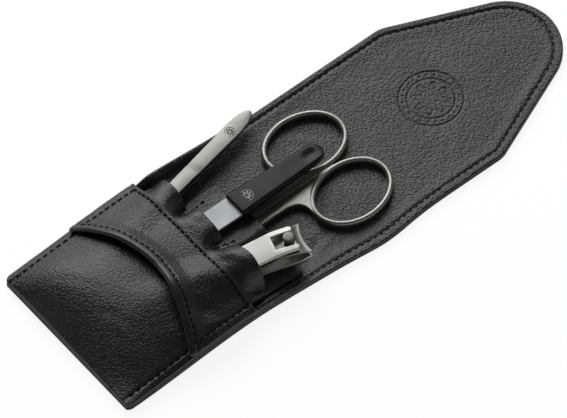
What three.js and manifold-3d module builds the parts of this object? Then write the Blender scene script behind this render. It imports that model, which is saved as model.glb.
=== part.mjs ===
// Manicure set in a soft leather case, lying open on its back with its tools in their pockets.
// Millimetres, +Z up. X runs across the case, Y from the closed end of the pouch to the tip of the flap.
// The origin is under the middle of the opened case, on the surface that it lies on.

import * as THREE from 'three';
import { mergeVertices } from 'three/addons/utils/BufferGeometryUtils.js';
import Module from 'manifold-3d';

const wasm = await Module();
wasm.setup();

// Case outline, from the closed end to the tip of the flap
const caseLength = 221.7;
const caseWidth = 70;
const flapCornerPlace = 171.5;
const flapCornerRadius = 10;
const flapTipRadius = 20.6;
const endCornerRadius = 2.5;

// Fold between the pouch and the flap: a strip that bends from the pouch at one edge and to the flap at the other
const foldStart = 138.2;
const foldLength = 16;
const foldGap = 0.3;

// Leathers
const coverThickness = 1.2;
const liningThickness = 0.9;
const innerThickness = 0.8;
const frontThickness = 1.1;
const strapThickness = 1.1;
const layerGap = 0.3;
const stretchLimit = 1.8;

// How the back panel rises to the side seams beside the filled pouch
const sideRise = 4;
const sideRisePeak = 57;
const sideRiseEnd = 104;
const flatShare = 0.45;
const sideRisePower = 1.8;

// Front panel of the pouch
const mouthPlace = 58;
const frontCrown = 10;
const frontCrownPower = 2.8;
const closedEndCurve = 28;
const closedEndPower = 2.2;

// Low ridges of the front panel over the thicker tools
const tweezersRidge = 1.2;
const tweezersRidgeHalfWidth = 9;
const clipperRidge = 2.4;
const clipperRidgeHalfWidth = 11.5;
const clipperRidgeShift = 3.5;
const ridgeStart = 20;

// Strap across the front panel, whose lower edge is an arch
const strapTopPlace = 58.6;
const strapArchTop = 40;
const strapArchEnd = 29;
const strapArchPower = 1.7;

// Inner panels
const innerInset = 5;
const pocketLeftEdge = -19.5;
const innerStart = 14;
const scissorsPocketTop = 84;
const swingHalfWidth = 6.3;
const swingFall = 7;
const headRampStart = 58;
const headRampEnd = 66;
const pocketEndRamp = 36;
const loopsTop = 68;
const loopsMergeStart = 58.4;
const loopsMergeEnd = 66;
const tweezersLoop = { halfWidth: 6.8, top: 10.1, power: 3 };
const fileLoop = { halfWidth: 7, top: 12.4, power: 5 };
const clipperLoop = { halfWidth: 9.8, top: 15.3, power: 4 };

// Running clearance between a tool and the leather or a neighbour
const toolGap = 0.3;
const cutOverrun = 1;

// Scissors, from their pivot
const scissorsX = 1;
const scissorsPivotPlace = 78;
const scissorsThickness = 2.6;
const bladeThickness = 1.15;
const bladeLength = 29;
const bladeRootWidth = 7;
const bladeTipWidth = 1.4;
const pivotDiscRadius = 4.8;
const pivotScrewRadius = 1.5;
const pivotHeadRadius = 2.6;
const pivotHeadHeight = 0.6;
const shankWidth = 4.5;
const shankLength = 20.5;
const shankGap = 0.3;
const ringCentreAcross = 13.2;
const ringCentreAlong = 40.7;
const ringHalfWidth = 11.9;
const ringHalfLength = 15.6;
const ringStock = 2.1;
const ringLean = 5;
const ringPlateStart = -108;
const ringPlateEnd = -188;
const ringHeightShare = 0.625;
const ringSectionPower = 0.7;

// Nail file
const fileX = -3.6;
const fileAxisHeight = 10.7;
const fileTipPlace = 30;
const bladePointLength = 9;
const fileBladeWidth = 9;
const fileTipWidth = 3;
const fileBladeThickness = 1.2;
const handleStart = 79.6;
const handleLength = 40;
const handleRootWidth = 10.8;
const handleEndWidth = 7.4;
const handleRootHeight = 4.5;
const handleEndHeight = 2.6;
const tangDepth = 8;

// Tweezers, from their joined end
const tweezersEndX = -33;
const tweezersEndPlace = 110.6;
const tweezersEndHeight = 8.1;
const tweezersYaw = 11.8;
const tweezersPitch = 1.2;
const tweezersLength = 90;
const armThickness = 1.1;
const armWidth = 5.8;
const armWaistWidth = 5;
const armTipWidth = 1.8;
const armEndLength = 11;
const armJoinLength = 8;
const armMouthSpread = 1.1;
const armFullSpread = 1.6;
const armTipSpread = 1.2;
const armEndShares = [[0, 0.16], [0.08, 0.42], [0.3, 0.74], [0.6, 0.92], [1, 1]];
const armWaistShares = [0.5, 0.72];
const armSpreadShare = 0.84;

// Nail clipper, from its tail
const clipperTailX = 7.6;
const clipperTailPlace = 34.6;
const clipperYaw = 16;
const clipperTailHeight = 7.1;
const clipperFrontHeight = 5.75;
const clipperLength = 57.5;
const clipperWidth = 10;
const jawWidth = 12.8;
const jawLength = 11;
const jawHollow = 1.2;
const clipperArmThickness = 1.2;
const leverWidth = 9.8;
const leverForkWidth = 6;
const leverForkLength = 10;
const postSetback = 6.5;
const postRadius = 1.8;
const postHeadRadius = 2.35;
const postHeight = 11.5;
const postHeadHeight = 1.3;
const crossPinRadius = 0.45;
const crossPinGap = 0.15;
const tailRivetRadius = 1.3;
const tailRivetPlace = 4.5;
const tailRoundShare = 0.5;
const leverRoundShare = 0.6;
const edgeShare = 0.25;

// Side views of the clipper's plates: shares of its length along, of its arms' thickness in height
const upperArmShares = [[0, 1.25], [0.2, 1.35], [0.45, 1.8], [0.6, 2.75], [0.8, 4.7], [0.87, 5.6], [1, 5.85, 0.25]];
const leverShares = [
  [0.035, 2.5], [0.42, 3.1], [0.5, 3.6], [0.6, 4.8, 1.15], [0.8, 7.2, 1.42], [0.93, 7.1, 1.42],
];
const lowerJawShares = [[0.914, 0], [0.971, 1.45], [1, 3.9], [0.995, 4.15], [0.933, 2.15], [0.81, 1]];

// Facets
const roundSides = 20;
const ringSteps = 36;
const ringSides = 8;
const arcSteps = 8;
const hollowSteps = 4;
const mergeTolerance = 1e-5;
const slopeStep = 0.05;

const degree = Math.PI / 180;
const halfWidth = caseWidth / 2;

// Places worked out from the sizes above
const liningTopFlat = coverThickness + layerGap + liningThickness;
const flapStart = foldStart + foldLength;
const scissorsBottom = liningTopFlat + toolGap;
const scissorsTop = scissorsBottom + scissorsThickness;
const pivotHeadTop = scissorsTop + layerGap + pivotHeadHeight;
const innerHalfWidth = halfWidth - innerInset;
const postPlace = clipperLength - postSetback;
const [, prongHeight, prongThickness] = leverShares[leverShares.length - 1];
const crossPinHeight = (prongHeight + prongThickness / 2) * clipperArmThickness;

// Materials

function leather(colour) {
  return new THREE.MeshStandardMaterial({ color: colour, roughness: 0.62, metalness: 0 });
}

const coverLeather = leather(0x1b1c1d);
const liningLeather = leather(0x26282a);
const panelLeather = leather(0x202223);
const satinSteel = new THREE.MeshStandardMaterial({ color: 0xc9c9c6, roughness: 0.34, metalness: 1 });
const polishedSteel = new THREE.MeshStandardMaterial({ color: 0xd6d6d4, roughness: 0.2, metalness: 1 });
const blackPlastic = new THREE.MeshStandardMaterial({ color: 0x18191a, roughness: 0.45, metalness: 0 });

// Small helpers

function smoothStep(value) {
  const t = Math.min(Math.max(value, 0), 1);
  return t * t * (3 - 2 * t);
}

function mix(a, b, t) {
  return a + (b - a) * t;
}

// Values from the first break to the last, with so many even steps in each stretch
function steps(breaks, counts) {
  const values = [breaks[0]];
  counts.forEach((count, index) => {
    for (let k = 1; k <= count; k += 1) values.push(mix(breaks[index], breaks[index + 1], k / count));
  });
  return values;
}

function toSolid(geometry) {
  const bare = geometry.clone();
  bare.deleteAttribute('normal');
  bare.deleteAttribute('uv');
  const merged = mergeVertices(bare, mergeTolerance);
  return new wasm.Manifold(new wasm.Mesh({
    numProp: 3,
    vertProperties: new Float32Array(merged.attributes.position.array),
    triVerts: new Uint32Array(merged.index.array),
  }));
}

function fromSolid(solid) {
  const { vertProperties, triVerts } = solid.getMesh();
  const geometry = new THREE.BufferGeometry();
  geometry.setAttribute('position', new THREE.BufferAttribute(new Float32Array(vertProperties), 3));
  geometry.setIndex(new THREE.BufferAttribute(new Uint32Array(triVerts), 1));
  geometry.computeVertexNormals();
  return geometry;
}

function cut(geometry, ...cutters) {
  return fromSolid(cutters.reduce((solid, cutter) => solid.subtract(toSolid(cutter)), toSolid(geometry)));
}

function join(geometry, ...others) {
  return fromSolid(others.reduce((solid, other) => solid.add(toSolid(other)), toSolid(geometry)));
}

function common(geometry, other) {
  return fromSolid(toSolid(geometry).intersect(toSolid(other)));
}

// A flat plate with an outline in X and Y, from one height to another
function plate(points, bottom, top) {
  const shape = new THREE.Shape(points.map(([x, y]) => new THREE.Vector2(x, y)));
  const geometry = new THREE.ExtrudeGeometry(shape, { depth: top - bottom, bevelEnabled: false });
  return geometry.translate(0, 0, bottom);
}

// A profile in Y and Z, carried across a width that is centred on X
function acrossWidth(points, width) {
  const shape = new THREE.Shape(points.map(([y, z]) => new THREE.Vector2(y, z)));
  const geometry = new THREE.ExtrudeGeometry(shape, { depth: width, bevelEnabled: false });
  const turn = new THREE.Matrix4().makeBasis(
    new THREE.Vector3(0, 1, 0),
    new THREE.Vector3(0, 0, 1),
    new THREE.Vector3(1, 0, 0),
  );
  return geometry.applyMatrix4(turn).translate(-width / 2, 0, 0);
}

function upright(radius, bottom, top, x = 0, y = 0) {
  const geometry = new THREE.CylinderGeometry(radius, radius, top - bottom, roundSides);
  return geometry.rotateX(Math.PI / 2).translate(x, y, (bottom + top) / 2);
}

// A skin through closed rings of points, capped at both ends or joined end to end
function loft(rings, endless = false) {
  const sides = rings[0].length;
  const points = rings.flat();
  const triangles = [];
  const last = endless ? rings.length : rings.length - 1;
  for (let i = 0; i < last; i += 1) {
    const next = (i + 1) % rings.length;
    for (let k = 0; k < sides; k += 1) {
      const [a, b] = [i * sides + k, i * sides + ((k + 1) % sides)];
      const [c, d] = [next * sides + k, next * sides + ((k + 1) % sides)];
      triangles.push(a, b, d, a, d, c);
    }
  }
  if (!endless) {
    const tail = (rings.length - 1) * sides;
    for (let k = 1; k < sides - 1; k += 1) {
      triangles.push(0, k + 1, k, tail, tail + k, tail + k + 1);
    }
  }
  const geometry = new THREE.BufferGeometry();
  geometry.setAttribute('position', new THREE.Float32BufferAttribute(points.flat(), 3));
  geometry.setIndex(triangles);
  geometry.computeVertexNormals();
  return geometry;
}

// Leather sheets: a closed solid between two height functions, on a grid of across and along values
function sheet(across, along, place, under, over) {
  const columns = across.length;
  const count = columns * along.length;
  const points = [];
  [under, over].forEach((height) => {
    along.forEach((v) => across.forEach((u) => {
      const [x, y] = place(u, v);
      points.push(x, y, height(x, y));
    }));
  });
  const triangles = [];
  const quad = (a, b, c, d) => triangles.push(a, b, c, a, c, d);
  for (let j = 0; j < along.length - 1; j += 1) {
    for (let i = 0; i < columns - 1; i += 1) {
      const a = j * columns + i;
      quad(a, a + columns, a + columns + 1, a + 1);
      quad(count + a, count + a + 1, count + a + columns + 1, count + a + columns);
    }
  }
  const wall = (a, b) => quad(a, b, count + b, count + a);
  for (let i = 0; i < columns - 1; i += 1) {
    wall(i, i + 1);
    const far = (along.length - 1) * columns + i;
    wall(far + 1, far);
  }
  for (let j = 0; j < along.length - 1; j += 1) {
    wall((j + 1) * columns, j * columns);
    wall(j * columns + columns - 1, (j + 1) * columns + columns - 1);
  }
  const geometry = new THREE.BufferGeometry();
  geometry.setAttribute('position', new THREE.Float32BufferAttribute(points, 3));
  geometry.setIndex(triangles);
  geometry.computeVertexNormals();
  return geometry;
}

// The upper side of a sheet of even thickness that lies on a height function
function thickened(under, thickness) {
  return (x, y) => {
    const slopeX = (under(x + slopeStep, y) - under(x - slopeStep, y)) / (2 * slopeStep);
    const slopeY = (under(x, y + slopeStep) - under(x, y - slopeStep)) / (2 * slopeStep);
    const stretch = Math.min(Math.hypot(1, slopeX, slopeY), stretchLimit);
    return under(x, y) + thickness * stretch;
  };
}

// Outline of the back panel and the flap

const tipCentre = caseLength - flapTipRadius;
const cornerToTip = Math.hypot(halfWidth, tipCentre - flapCornerPlace);
const flapTaper = Math.atan2(halfWidth, tipCentre - flapCornerPlace) - Math.asin(flapTipRadius / cornerToTip);
const cornerTangent = flapCornerRadius * Math.tan(flapTaper / 2);
const cornerArcStart = flapCornerPlace - cornerTangent;
const cornerArcEnd = flapCornerPlace + cornerTangent * Math.cos(flapTaper);
const tipArcStart = tipCentre + flapTipRadius * Math.sin(flapTaper);

function caseHalfWidth(y) {
  if (y < endCornerRadius) {
    const depth = endCornerRadius - y;
    return halfWidth - endCornerRadius + Math.sqrt(endCornerRadius ** 2 - depth ** 2);
  }
  if (y <= cornerArcStart) return halfWidth;
  if (y < cornerArcEnd) {
    return halfWidth - flapCornerRadius + Math.sqrt(flapCornerRadius ** 2 - (y - cornerArcStart) ** 2);
  }
  if (y < tipArcStart) return halfWidth - (y - flapCornerPlace) * Math.tan(flapTaper);
  return Math.sqrt(Math.max(flapTipRadius ** 2 - (y - tipCentre) ** 2, 0));
}

// Heights of the layers, from the surface that the case lies on upwards

function coverUnder(x, y) {
  const along = y < sideRisePeak
    ? smoothStep(y / sideRisePeak)
    : 1 - smoothStep((y - sideRisePeak) / (sideRiseEnd - sideRisePeak));
  const side = Math.max(Math.abs(x) / halfWidth - flatShare, 0) / (1 - flatShare);
  return sideRise * along * side ** sideRisePower;
}

const coverTop = thickened(coverUnder, coverThickness);

function liningUnder(x, y) {
  return coverTop(x, y) + layerGap;
}

const liningTop = thickened(liningUnder, liningThickness);

// The scissors' pocket stands clear of the blades, the shanks and the pivot screw's head
function scissorsPocketUnder(x, y) {
  const seat = liningTop(x, y) + layerGap;
  const low = scissorsTop + toolGap;
  const high = pivotHeadTop + toolGap;
  const crest = mix(low, high, smoothStep((y - headRampStart) / (headRampEnd - headRampStart)));
  const along = smoothStep((y - innerStart) / (pocketEndRamp - innerStart));
  const across = 1 - smoothStep((Math.abs(x - scissorsX) - swingHalfWidth) / swingFall);
  return mix(seat, Math.max(crest, seat), across * along);
}

const scissorsPocketOver = thickened(scissorsPocketUnder, innerThickness);

// Front panel: a crown between the side seams, with low ridges over the thicker tools
function toolLine(x0, y0, yaw, y) {
  return x0 + (y - y0) * Math.tan(yaw * degree);
}

function ridge(x, centre, reach) {
  const t = Math.min(Math.abs(x - centre) / reach, 1);
  return (1 + Math.cos(Math.PI * t)) / 2;
}

function frontUnder(x, y) {
  const u = Math.min(Math.abs(x) / halfWidth, 1);
  const near = Math.min(Math.max(y, 0) / closedEndCurve, 1);
  const rise = frontCrown * (1 - (1 - near) ** closedEndPower);
  const along = smoothStep((y - ridgeStart) / (mouthPlace - ridgeStart));
  const left = toolLine(tweezersEndX, tweezersEndPlace, -tweezersYaw, y);
  const right = toolLine(clipperTailX, clipperTailPlace, clipperYaw, y) + clipperRidgeShift;
  const ridges = tweezersRidge * ridge(x, left, tweezersRidgeHalfWidth)
    + clipperRidge * ridge(x, right, clipperRidgeHalfWidth);
  const seam = 1 - u ** frontCrownPower;
  return liningTop(x, y) + layerGap + rise * seam + along * ridges;
}

const frontOver = thickened(frontUnder, frontThickness);

function strapUnder(x, y) {
  return frontOver(x, y) + layerGap;
}

const strapOver = thickened(strapUnder, strapThickness);

// Tool loops: one panel that follows the front panel below the mouth and parts into three arches above it

function arch(x, centre, loop, seat) {
  const t = Math.min(Math.abs(x - centre) / loop.halfWidth, 1);
  return mix(seat, loop.top, 1 - t ** loop.power);
}

// Vertical thickness of a panel that follows the front panel's slope
function innerRise(x, y) {
  return thickened(frontUnder, innerThickness)(x, y) - frontUnder(x, y);
}

function loopsUnder(x, y) {
  const seat = scissorsPocketOver(x, y) + layerGap;
  const hidden = frontUnder(x, y) - layerGap - innerRise(x, y);
  const merge = smoothStep((y - loopsMergeStart) / (loopsMergeEnd - loopsMergeStart));
  const open = Math.max(
    arch(x, toolLine(tweezersEndX, tweezersEndPlace, -tweezersYaw, y), tweezersLoop, seat),
    arch(x, fileX, fileLoop, seat),
    arch(x, toolLine(clipperTailX, clipperTailPlace, clipperYaw, y), clipperLoop, seat),
  );
  return Math.max(mix(hidden, open, merge), seat);
}

const loopsOver = thickened(loopsUnder, innerThickness);

// Case pieces

function endRows(stop, breaks, counts) {
  const cornerShares = [0, 0.12, 0.4, 1];
  const rows = cornerShares.map((share) => share * endCornerRadius);
  return rows.concat(steps([endCornerRadius, ...breaks, stop], counts).slice(1));
}

function backPanel(under, over, stop) {
  const across = steps([-1, -flatShare, flatShare, 1], [5, 2, 5]);
  const rows = endRows(stop, [sideRisePeak, sideRiseEnd], [5, 6, 1]);
  return sheet(across, rows, (u, y) => [u * caseHalfWidth(y), y], under, over);
}

function foldStrip(under, over) {
  const rows = [foldStart + foldGap / 2, flapStart - foldGap / 2];
  return sheet([-1, 1], rows, (u, y) => [u * caseHalfWidth(y), y], under, over);
}

function flapRows() {
  const tipRowShares = [0.2, 0.4, 0.58, 0.73, 0.85, 0.93, 0.98, 0.997];
  const cornerMiddle = (cornerArcStart + cornerArcEnd) / 2;
  const rows = [flapStart + foldGap / 2, cornerArcStart, cornerMiddle, cornerArcEnd];
  rows.push(tipArcStart);
  tipRowShares.forEach((share) => rows.push(mix(tipArcStart, caseLength, share)));
  return rows;
}

function flapPanel(under, over) {
  return sheet([-1, 0, 1], flapRows(), (u, y) => [u * caseHalfWidth(y), y], under, over);
}

function frontPanel() {
  const across = steps([-1, 1], [30]);
  const rows = endRows(mouthPlace, [ridgeStart], [5, 8]);
  return sheet(across, rows, (u, y) => [u * caseHalfWidth(y), y], frontUnder, frontOver);
}

function strapLowEdge(x) {
  const u = Math.min(Math.abs(x) / halfWidth, 1);
  return mix(strapArchTop, strapArchEnd, u ** strapArchPower);
}

function strap() {
  const across = steps([-1, 1], [30]);
  const rows = steps([0, 1], [4]);
  const place = (u, v) => [u * halfWidth, mix(strapLowEdge(u * halfWidth), strapTopPlace, v)];
  return sheet(across, rows, place, strapUnder, strapOver);
}

function scissorsPocket() {
  const bend = swingHalfWidth + swingFall;
  const across = steps([
    pocketLeftEdge, scissorsX - bend, scissorsX - swingHalfWidth,
    scissorsX + swingHalfWidth, scissorsX + bend, innerHalfWidth,
  ], [3, 6, 2, 6, 4]);
  const rows = steps([innerStart, pocketEndRamp, headRampStart, headRampEnd, scissorsPocketTop], [4, 2, 3, 2]);
  return sheet(across, rows, (x, y) => [x, y], scissorsPocketUnder, scissorsPocketOver);
}

function toolLoops() {
  const across = steps([-innerHalfWidth, innerHalfWidth], [44]);
  const rows = steps([innerStart, closedEndCurve, loopsMergeStart, loopsMergeEnd, loopsTop], [4, 5, 5, 1]);
  return sheet(across, rows, (x, y) => [x, y], loopsUnder, loopsOver);
}

// Scissors

function ringPoint(angle, outward = 0) {
  const x = (ringHalfWidth + outward) * Math.cos(angle);
  const y = (ringHalfLength + outward) * Math.sin(angle);
  const lean = ringLean * degree;
  return [
    ringCentreAcross + x * Math.cos(lean) - y * Math.sin(lean),
    ringCentreAlong + x * Math.sin(lean) + y * Math.cos(lean),
  ];
}

function fingerRing() {
  const rings = [];
  for (let i = 0; i < ringSteps; i += 1) {
    const turn = (i / ringSteps) * 2 * Math.PI;
    const section = [];
    for (let k = 0; k < ringSides; k += 1) {
      const side = ((k + 0.5) / ringSides) * 2 * Math.PI;
      const widthShare = Math.sign(Math.cos(side)) * Math.abs(Math.cos(side)) ** ringSectionPower;
      const heightShare = Math.sign(Math.sin(side)) * Math.abs(Math.sin(side)) ** ringSectionPower;
      const [x, y] = ringPoint(turn, (ringStock / 2) * widthShare);
      section.push([x, y, scissorsThickness * ringHeightShare * heightShare]);
    }
    rings.push(section.reverse());
  }
  return loft(rings, true).translate(0, 0, scissorsThickness / 2);
}

function shankOutline() {
  const inner = shankGap / 2;
  const outline = [[inner, pivotDiscRadius + shankGap], [shankWidth, pivotDiscRadius + shankGap]];
  outline.push([shankWidth, shankLength]);
  outline.push([shankWidth + ringStock / 2, shankLength + ringStock]);
  for (let k = 0; k <= arcSteps; k += 1) {
    outline.push(ringPoint(mix(ringPlateStart, ringPlateEnd, k / arcSteps) * degree));
  }
  outline.push([inner, ringCentreAlong + ringStock]);
  return outline;
}

function scissorsHalf(upper) {
  const lower = upper ? scissorsThickness - bladeThickness : 0;
  const raised = lower + bladeThickness;
  const blade = plate([
    [-bladeRootWidth / 2, 0],
    [-bladeTipWidth / 2, -bladeLength],
    [bladeTipWidth / 2, -bladeLength],
    [bladeRootWidth / 2, 0],
  ], lower, raised);
  const disc = upright(pivotDiscRadius, lower, raised);
  const neck = plate([
    [shankGap / 2, 0],
    [shankWidth, 0],
    [shankWidth, pivotDiscRadius + shankGap + cutOverrun],
    [shankGap / 2, pivotDiscRadius + shankGap + cutOverrun],
  ], lower, raised);
  const shank = plate(shankOutline(), 0, scissorsThickness);
  const body = join(blade, disc, neck, shank, fingerRing());
  return cut(body, upright(pivotScrewRadius + toolGap, -cutOverrun, scissorsThickness + cutOverrun));
}

function pivotScrew() {
  const head = scissorsThickness + layerGap;
  const profile = [
    [0, 0],
    [pivotScrewRadius, 0],
    [pivotScrewRadius, head],
    [pivotHeadRadius, head],
    [pivotHeadRadius, head + pivotHeadHeight],
    [0, head + pivotHeadHeight],
  ].map(([x, y]) => new THREE.Vector2(x, y));
  return new THREE.LatheGeometry(profile, roundSides).rotateX(Math.PI / 2);
}

// Nail file

function fileBlade() {
  const half = fileBladeWidth / 2;
  const tip = fileTipWidth / 2;
  const stop = handleStart + tangDepth;
  return plate([
    [-half, fileTipPlace + bladePointLength],
    [-tip, fileTipPlace],
    [tip, fileTipPlace],
    [half, fileTipPlace + bladePointLength],
    [half, stop],
    [-half, stop],
  ], -fileBladeThickness / 2, fileBladeThickness / 2);
}

function fileHandle() {
  const placeShares = [0, 0.02, 0.3, 0.6, 0.82, 0.91, 0.965, 1];
  const widthShares = [0.95, 1, 1, 1, 1, 0.93, 0.72, 0.34];
  const heightShares = [0.9, 1, 1, 1, 1, 0.98, 0.9, 0.6];
  const cornerShare = 0.62;
  const rings = placeShares.map((share, index) => {
    const half = mix(handleRootWidth, handleEndWidth, share) / 2 * widthShares[index];
    const rise = mix(handleRootHeight, handleEndHeight, share) / 2 * heightShares[index];
    const y = handleStart + share * handleLength;
    return [
      [-half, y, -rise * cornerShare], [-half, y, rise * cornerShare],
      [-half * cornerShare, y, rise], [half * cornerShare, y, rise],
      [half, y, rise * cornerShare], [half, y, -rise * cornerShare],
      [half * cornerShare, y, -rise], [-half * cornerShare, y, -rise],
    ];
  });
  const slotWidth = fileBladeWidth + 2 * toolGap;
  const slotHeight = fileBladeThickness + 2 * toolGap;
  const slotStart = handleStart - cutOverrun;
  const slotStop = handleStart + tangDepth + toolGap;
  const slot = new THREE.BoxGeometry(slotWidth, slotStop - slotStart, slotHeight);
  return cut(loft(rings), slot.translate(0, (slotStart + slotStop) / 2, 0));
}

// Tweezers: two sprung arms that meet at the end that shows

function armOutline() {
  const half = armWidth / 2;
  const left = armEndShares.map(([along, wide]) => [-half * wide, -armEndLength * along]);
  armWaistShares.forEach((share) => left.push([-armWaistWidth / 2, -tweezersLength * share]));
  left.push([-armTipWidth / 2, -tweezersLength]);
  const right = left.map(([x, y]) => [-x, y]).reverse();
  return left.concat(right);
}

function tweezersArm(side) {
  const line = [
    [0, layerGap / 2],
    [-armJoinLength, layerGap / 2],
    [-tweezersLength / 2, armMouthSpread],
    [-tweezersLength * armSpreadShare, armFullSpread],
    [-tweezersLength, armTipSpread],
  ];
  const inner = line.map(([y, z]) => [y, side * z]);
  const outer = line.map(([y, z]) => [y, side * (z + armThickness)]).reverse();
  const profile = side > 0 ? inner.concat(outer).reverse() : inner.concat(outer);
  const reach = armFullSpread + 2 * armThickness;
  return common(acrossWidth(profile, armWidth + 2 * cutOverrun), plate(armOutline(), -reach, reach));
}

// Nail clipper

function clipperPlan() {
  const half = clipperWidth / 2;
  const jaw = jawWidth / 2;
  const tailRound = half * tailRoundShare;
  const outline = [[half - tailRound, 0], [half, tailRound], [half, clipperLength - jawLength], [jaw, clipperLength]];
  for (let k = 1; k < hollowSteps; k += 1) {
    const share = 1 - (2 * k) / hollowSteps;
    outline.push([jaw * share, clipperLength - jawHollow * (1 - share ** 2)]);
  }
  return outline.concat([[-jaw, clipperLength], [-half, clipperLength - jawLength], [-half, tailRound], [tailRound - half, 0]]);
}

function clipperPoint([along, high]) {
  return [along * clipperLength, high * clipperArmThickness];
}

// The side view of a bent plate, whose third share is its thickness where it isn't an arm's
function bentPlate(shares) {
  const over = shares.map(([along, high, thick = 1]) => [along, high + thick]).reverse();
  return shares.concat(over).map(clipperPoint);
}

function clipperSolid(profile, plan) {
  const reach = postHeight + cutOverrun;
  return common(acrossWidth(profile, jawWidth + 2 * cutOverrun), plate(plan, -reach, reach));
}

function postHole() {
  return upright(postRadius + toolGap + crossPinGap, -cutOverrun, postHeight + cutOverrun, 0, postPlace);
}

function rivetHole() {
  return upright(tailRivetRadius + toolGap, -cutOverrun, postHeight, 0, tailRivetPlace);
}

function clipperLowerArm() {
  const profile = [[0, 0], ...lowerJawShares, [0, 1]].map(clipperPoint);
  return cut(clipperSolid(profile, clipperPlan()), postHole(), rivetHole());
}

function clipperUpperArm() {
  return cut(clipperSolid(bentPlate(upperArmShares), clipperPlan()), postHole(), rivetHole());
}

function leverPlan() {
  const half = leverWidth / 2;
  const fork = leverForkWidth / 2;
  const front = postPlace + postHeadRadius;
  const forkRoot = front - leverForkLength;
  const rounding = (half - fork) / 2;
  const tail = leverShares[0][0] * clipperLength;
  const right = [
    [half * leverRoundShare, tail],
    [half, tail + half * tailRoundShare],
    [half, front - rounding],
    [half - rounding / 2, front],
    [fork + rounding / 2, front],
    [fork, front - rounding],
    [fork, forkRoot],
  ];
  const left = right.map(([x, y]) => [-x, y]).reverse();
  return right.concat(left);
}

function clipperLever() {
  const pinHole = crossPin(crossPinRadius + crossPinGap, leverWidth + 2 * cutOverrun);
  return cut(clipperSolid(bentPlate(leverShares), leverPlan()), pinHole);
}

function crossPin(radius, length) {
  const geometry = new THREE.CylinderGeometry(radius, radius, length, roundSides / 2);
  return geometry.rotateZ(Math.PI / 2).translate(0, postPlace, crossPinHeight);
}

function clipperPost() {
  const neck = postHeight - postHeadHeight;
  const foot = layerGap / 2;
  const profile = [
    [0, foot], [postRadius, foot], [postRadius, neck], [postHeadRadius, neck],
    [postHeadRadius, postHeight - postHeadHeight * edgeShare],
    [postHeadRadius - postHeadHeight * edgeShare, postHeight], [0, postHeight],
  ].map(([x, y]) => new THREE.Vector2(x, y));
  const lathe = new THREE.LatheGeometry(profile, roundSides).rotateX(Math.PI / 2).translate(0, postPlace, 0);
  return cut(lathe, crossPin(crossPinRadius + toolGap, jawWidth));
}

function tailRivet() {
  const top = clipperArmThickness * 2 + layerGap;
  return upright(tailRivetRadius, layerGap / 2, top, 0, tailRivetPlace);
}

// Assembly

const manicureCase = new THREE.Group();
const model = new THREE.Group();
model.position.set(0, -caseLength / 2, 0);
manicureCase.add(model);

function addPiece(group, name, geometry, material) {
  const mesh = new THREE.Mesh(geometry, material);
  mesh.name = name;
  group.add(mesh);
  return mesh;
}

function addCase() {
  const backStop = foldStart - foldGap / 2;
  addPiece(model, 'back_cover', backPanel(coverUnder, coverTop, backStop), coverLeather);
  addPiece(model, 'back_lining', backPanel(liningUnder, liningTop, backStop), liningLeather);
  addPiece(model, 'fold_cover', foldStrip(coverUnder, coverTop), coverLeather);
  addPiece(model, 'fold_lining', foldStrip(liningUnder, liningTop), liningLeather);
  addPiece(model, 'flap_cover', flapPanel(coverUnder, coverTop), coverLeather);
  addPiece(model, 'flap_lining', flapPanel(liningUnder, liningTop), liningLeather);
  addPiece(model, 'scissors_pocket_panel', scissorsPocket(), panelLeather);
  addPiece(model, 'tool_loops_panel', toolLoops(), panelLeather);
  addPiece(model, 'front_panel', frontPanel(), coverLeather);
  addPiece(model, 'closing_strap', strap(), coverLeather);
}

function addScissors() {
  const group = new THREE.Group();
  group.position.set(scissorsX, scissorsPivotPlace, scissorsBottom);
  model.add(group);
  addPiece(group, 'scissors_screw', pivotScrew(), satinSteel);
  addPiece(group, 'scissors_right_half', scissorsHalf(true), satinSteel);
  const mirrored = scissorsHalf(false).scale(-1, 1, 1);
  mirrored.index.array.reverse();
  mirrored.computeVertexNormals();
  addPiece(group, 'scissors_left_half', mirrored, satinSteel);
}

function addFile() {
  const group = new THREE.Group();
  group.position.set(fileX, 0, fileAxisHeight);
  model.add(group);
  addPiece(group, 'file_blade', fileBlade(), satinSteel);
  addPiece(group, 'file_handle', fileHandle(), blackPlastic);
}

function addTweezers() {
  const group = new THREE.Group();
  group.position.set(tweezersEndX, tweezersEndPlace, tweezersEndHeight);
  group.rotation.set(tweezersPitch * degree, 0, tweezersYaw * degree, 'ZYX');
  model.add(group);
  addPiece(group, 'tweezers_upper_arm', tweezersArm(1), satinSteel);
  addPiece(group, 'tweezers_lower_arm', tweezersArm(-1), satinSteel);
}

function addClipper() {
  const group = new THREE.Group();
  group.position.set(clipperTailX, clipperTailPlace, clipperTailHeight);
  const pitch = -Math.atan2(clipperTailHeight - clipperFrontHeight, clipperLength);
  group.rotation.set(pitch, 0, -clipperYaw * degree, 'ZYX');
  model.add(group);
  addPiece(group, 'clipper_lower_arm', clipperLowerArm(), polishedSteel);
  addPiece(group, 'clipper_upper_arm', clipperUpperArm(), polishedSteel);
  addPiece(group, 'clipper_lever', clipperLever(), polishedSteel);
  addPiece(group, 'clipper_post', clipperPost(), polishedSteel);
  addPiece(group, 'clipper_cross_pin', crossPin(crossPinRadius, leverWidth - layerGap), polishedSteel);
  addPiece(group, 'clipper_tail_rivet', tailRivet(), polishedSteel);
}

addCase();
addScissors();
addFile();
addTweezers();
addClipper();

export default manicureCase;
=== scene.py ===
"""Manicure set in a soft leather case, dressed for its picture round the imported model.

The makers work in millimetres, with X across the case, Y from the pouch's closed end to the flap's tip, and Z
up from the surface that the case lies on. `place_mesh` turns their points into the frame's metres.
"""

import logging
import math
from collections.abc import Callable, Sequence
from dataclasses import dataclass
from enum import Enum
from functools import cached_property
from typing import Any

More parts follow.
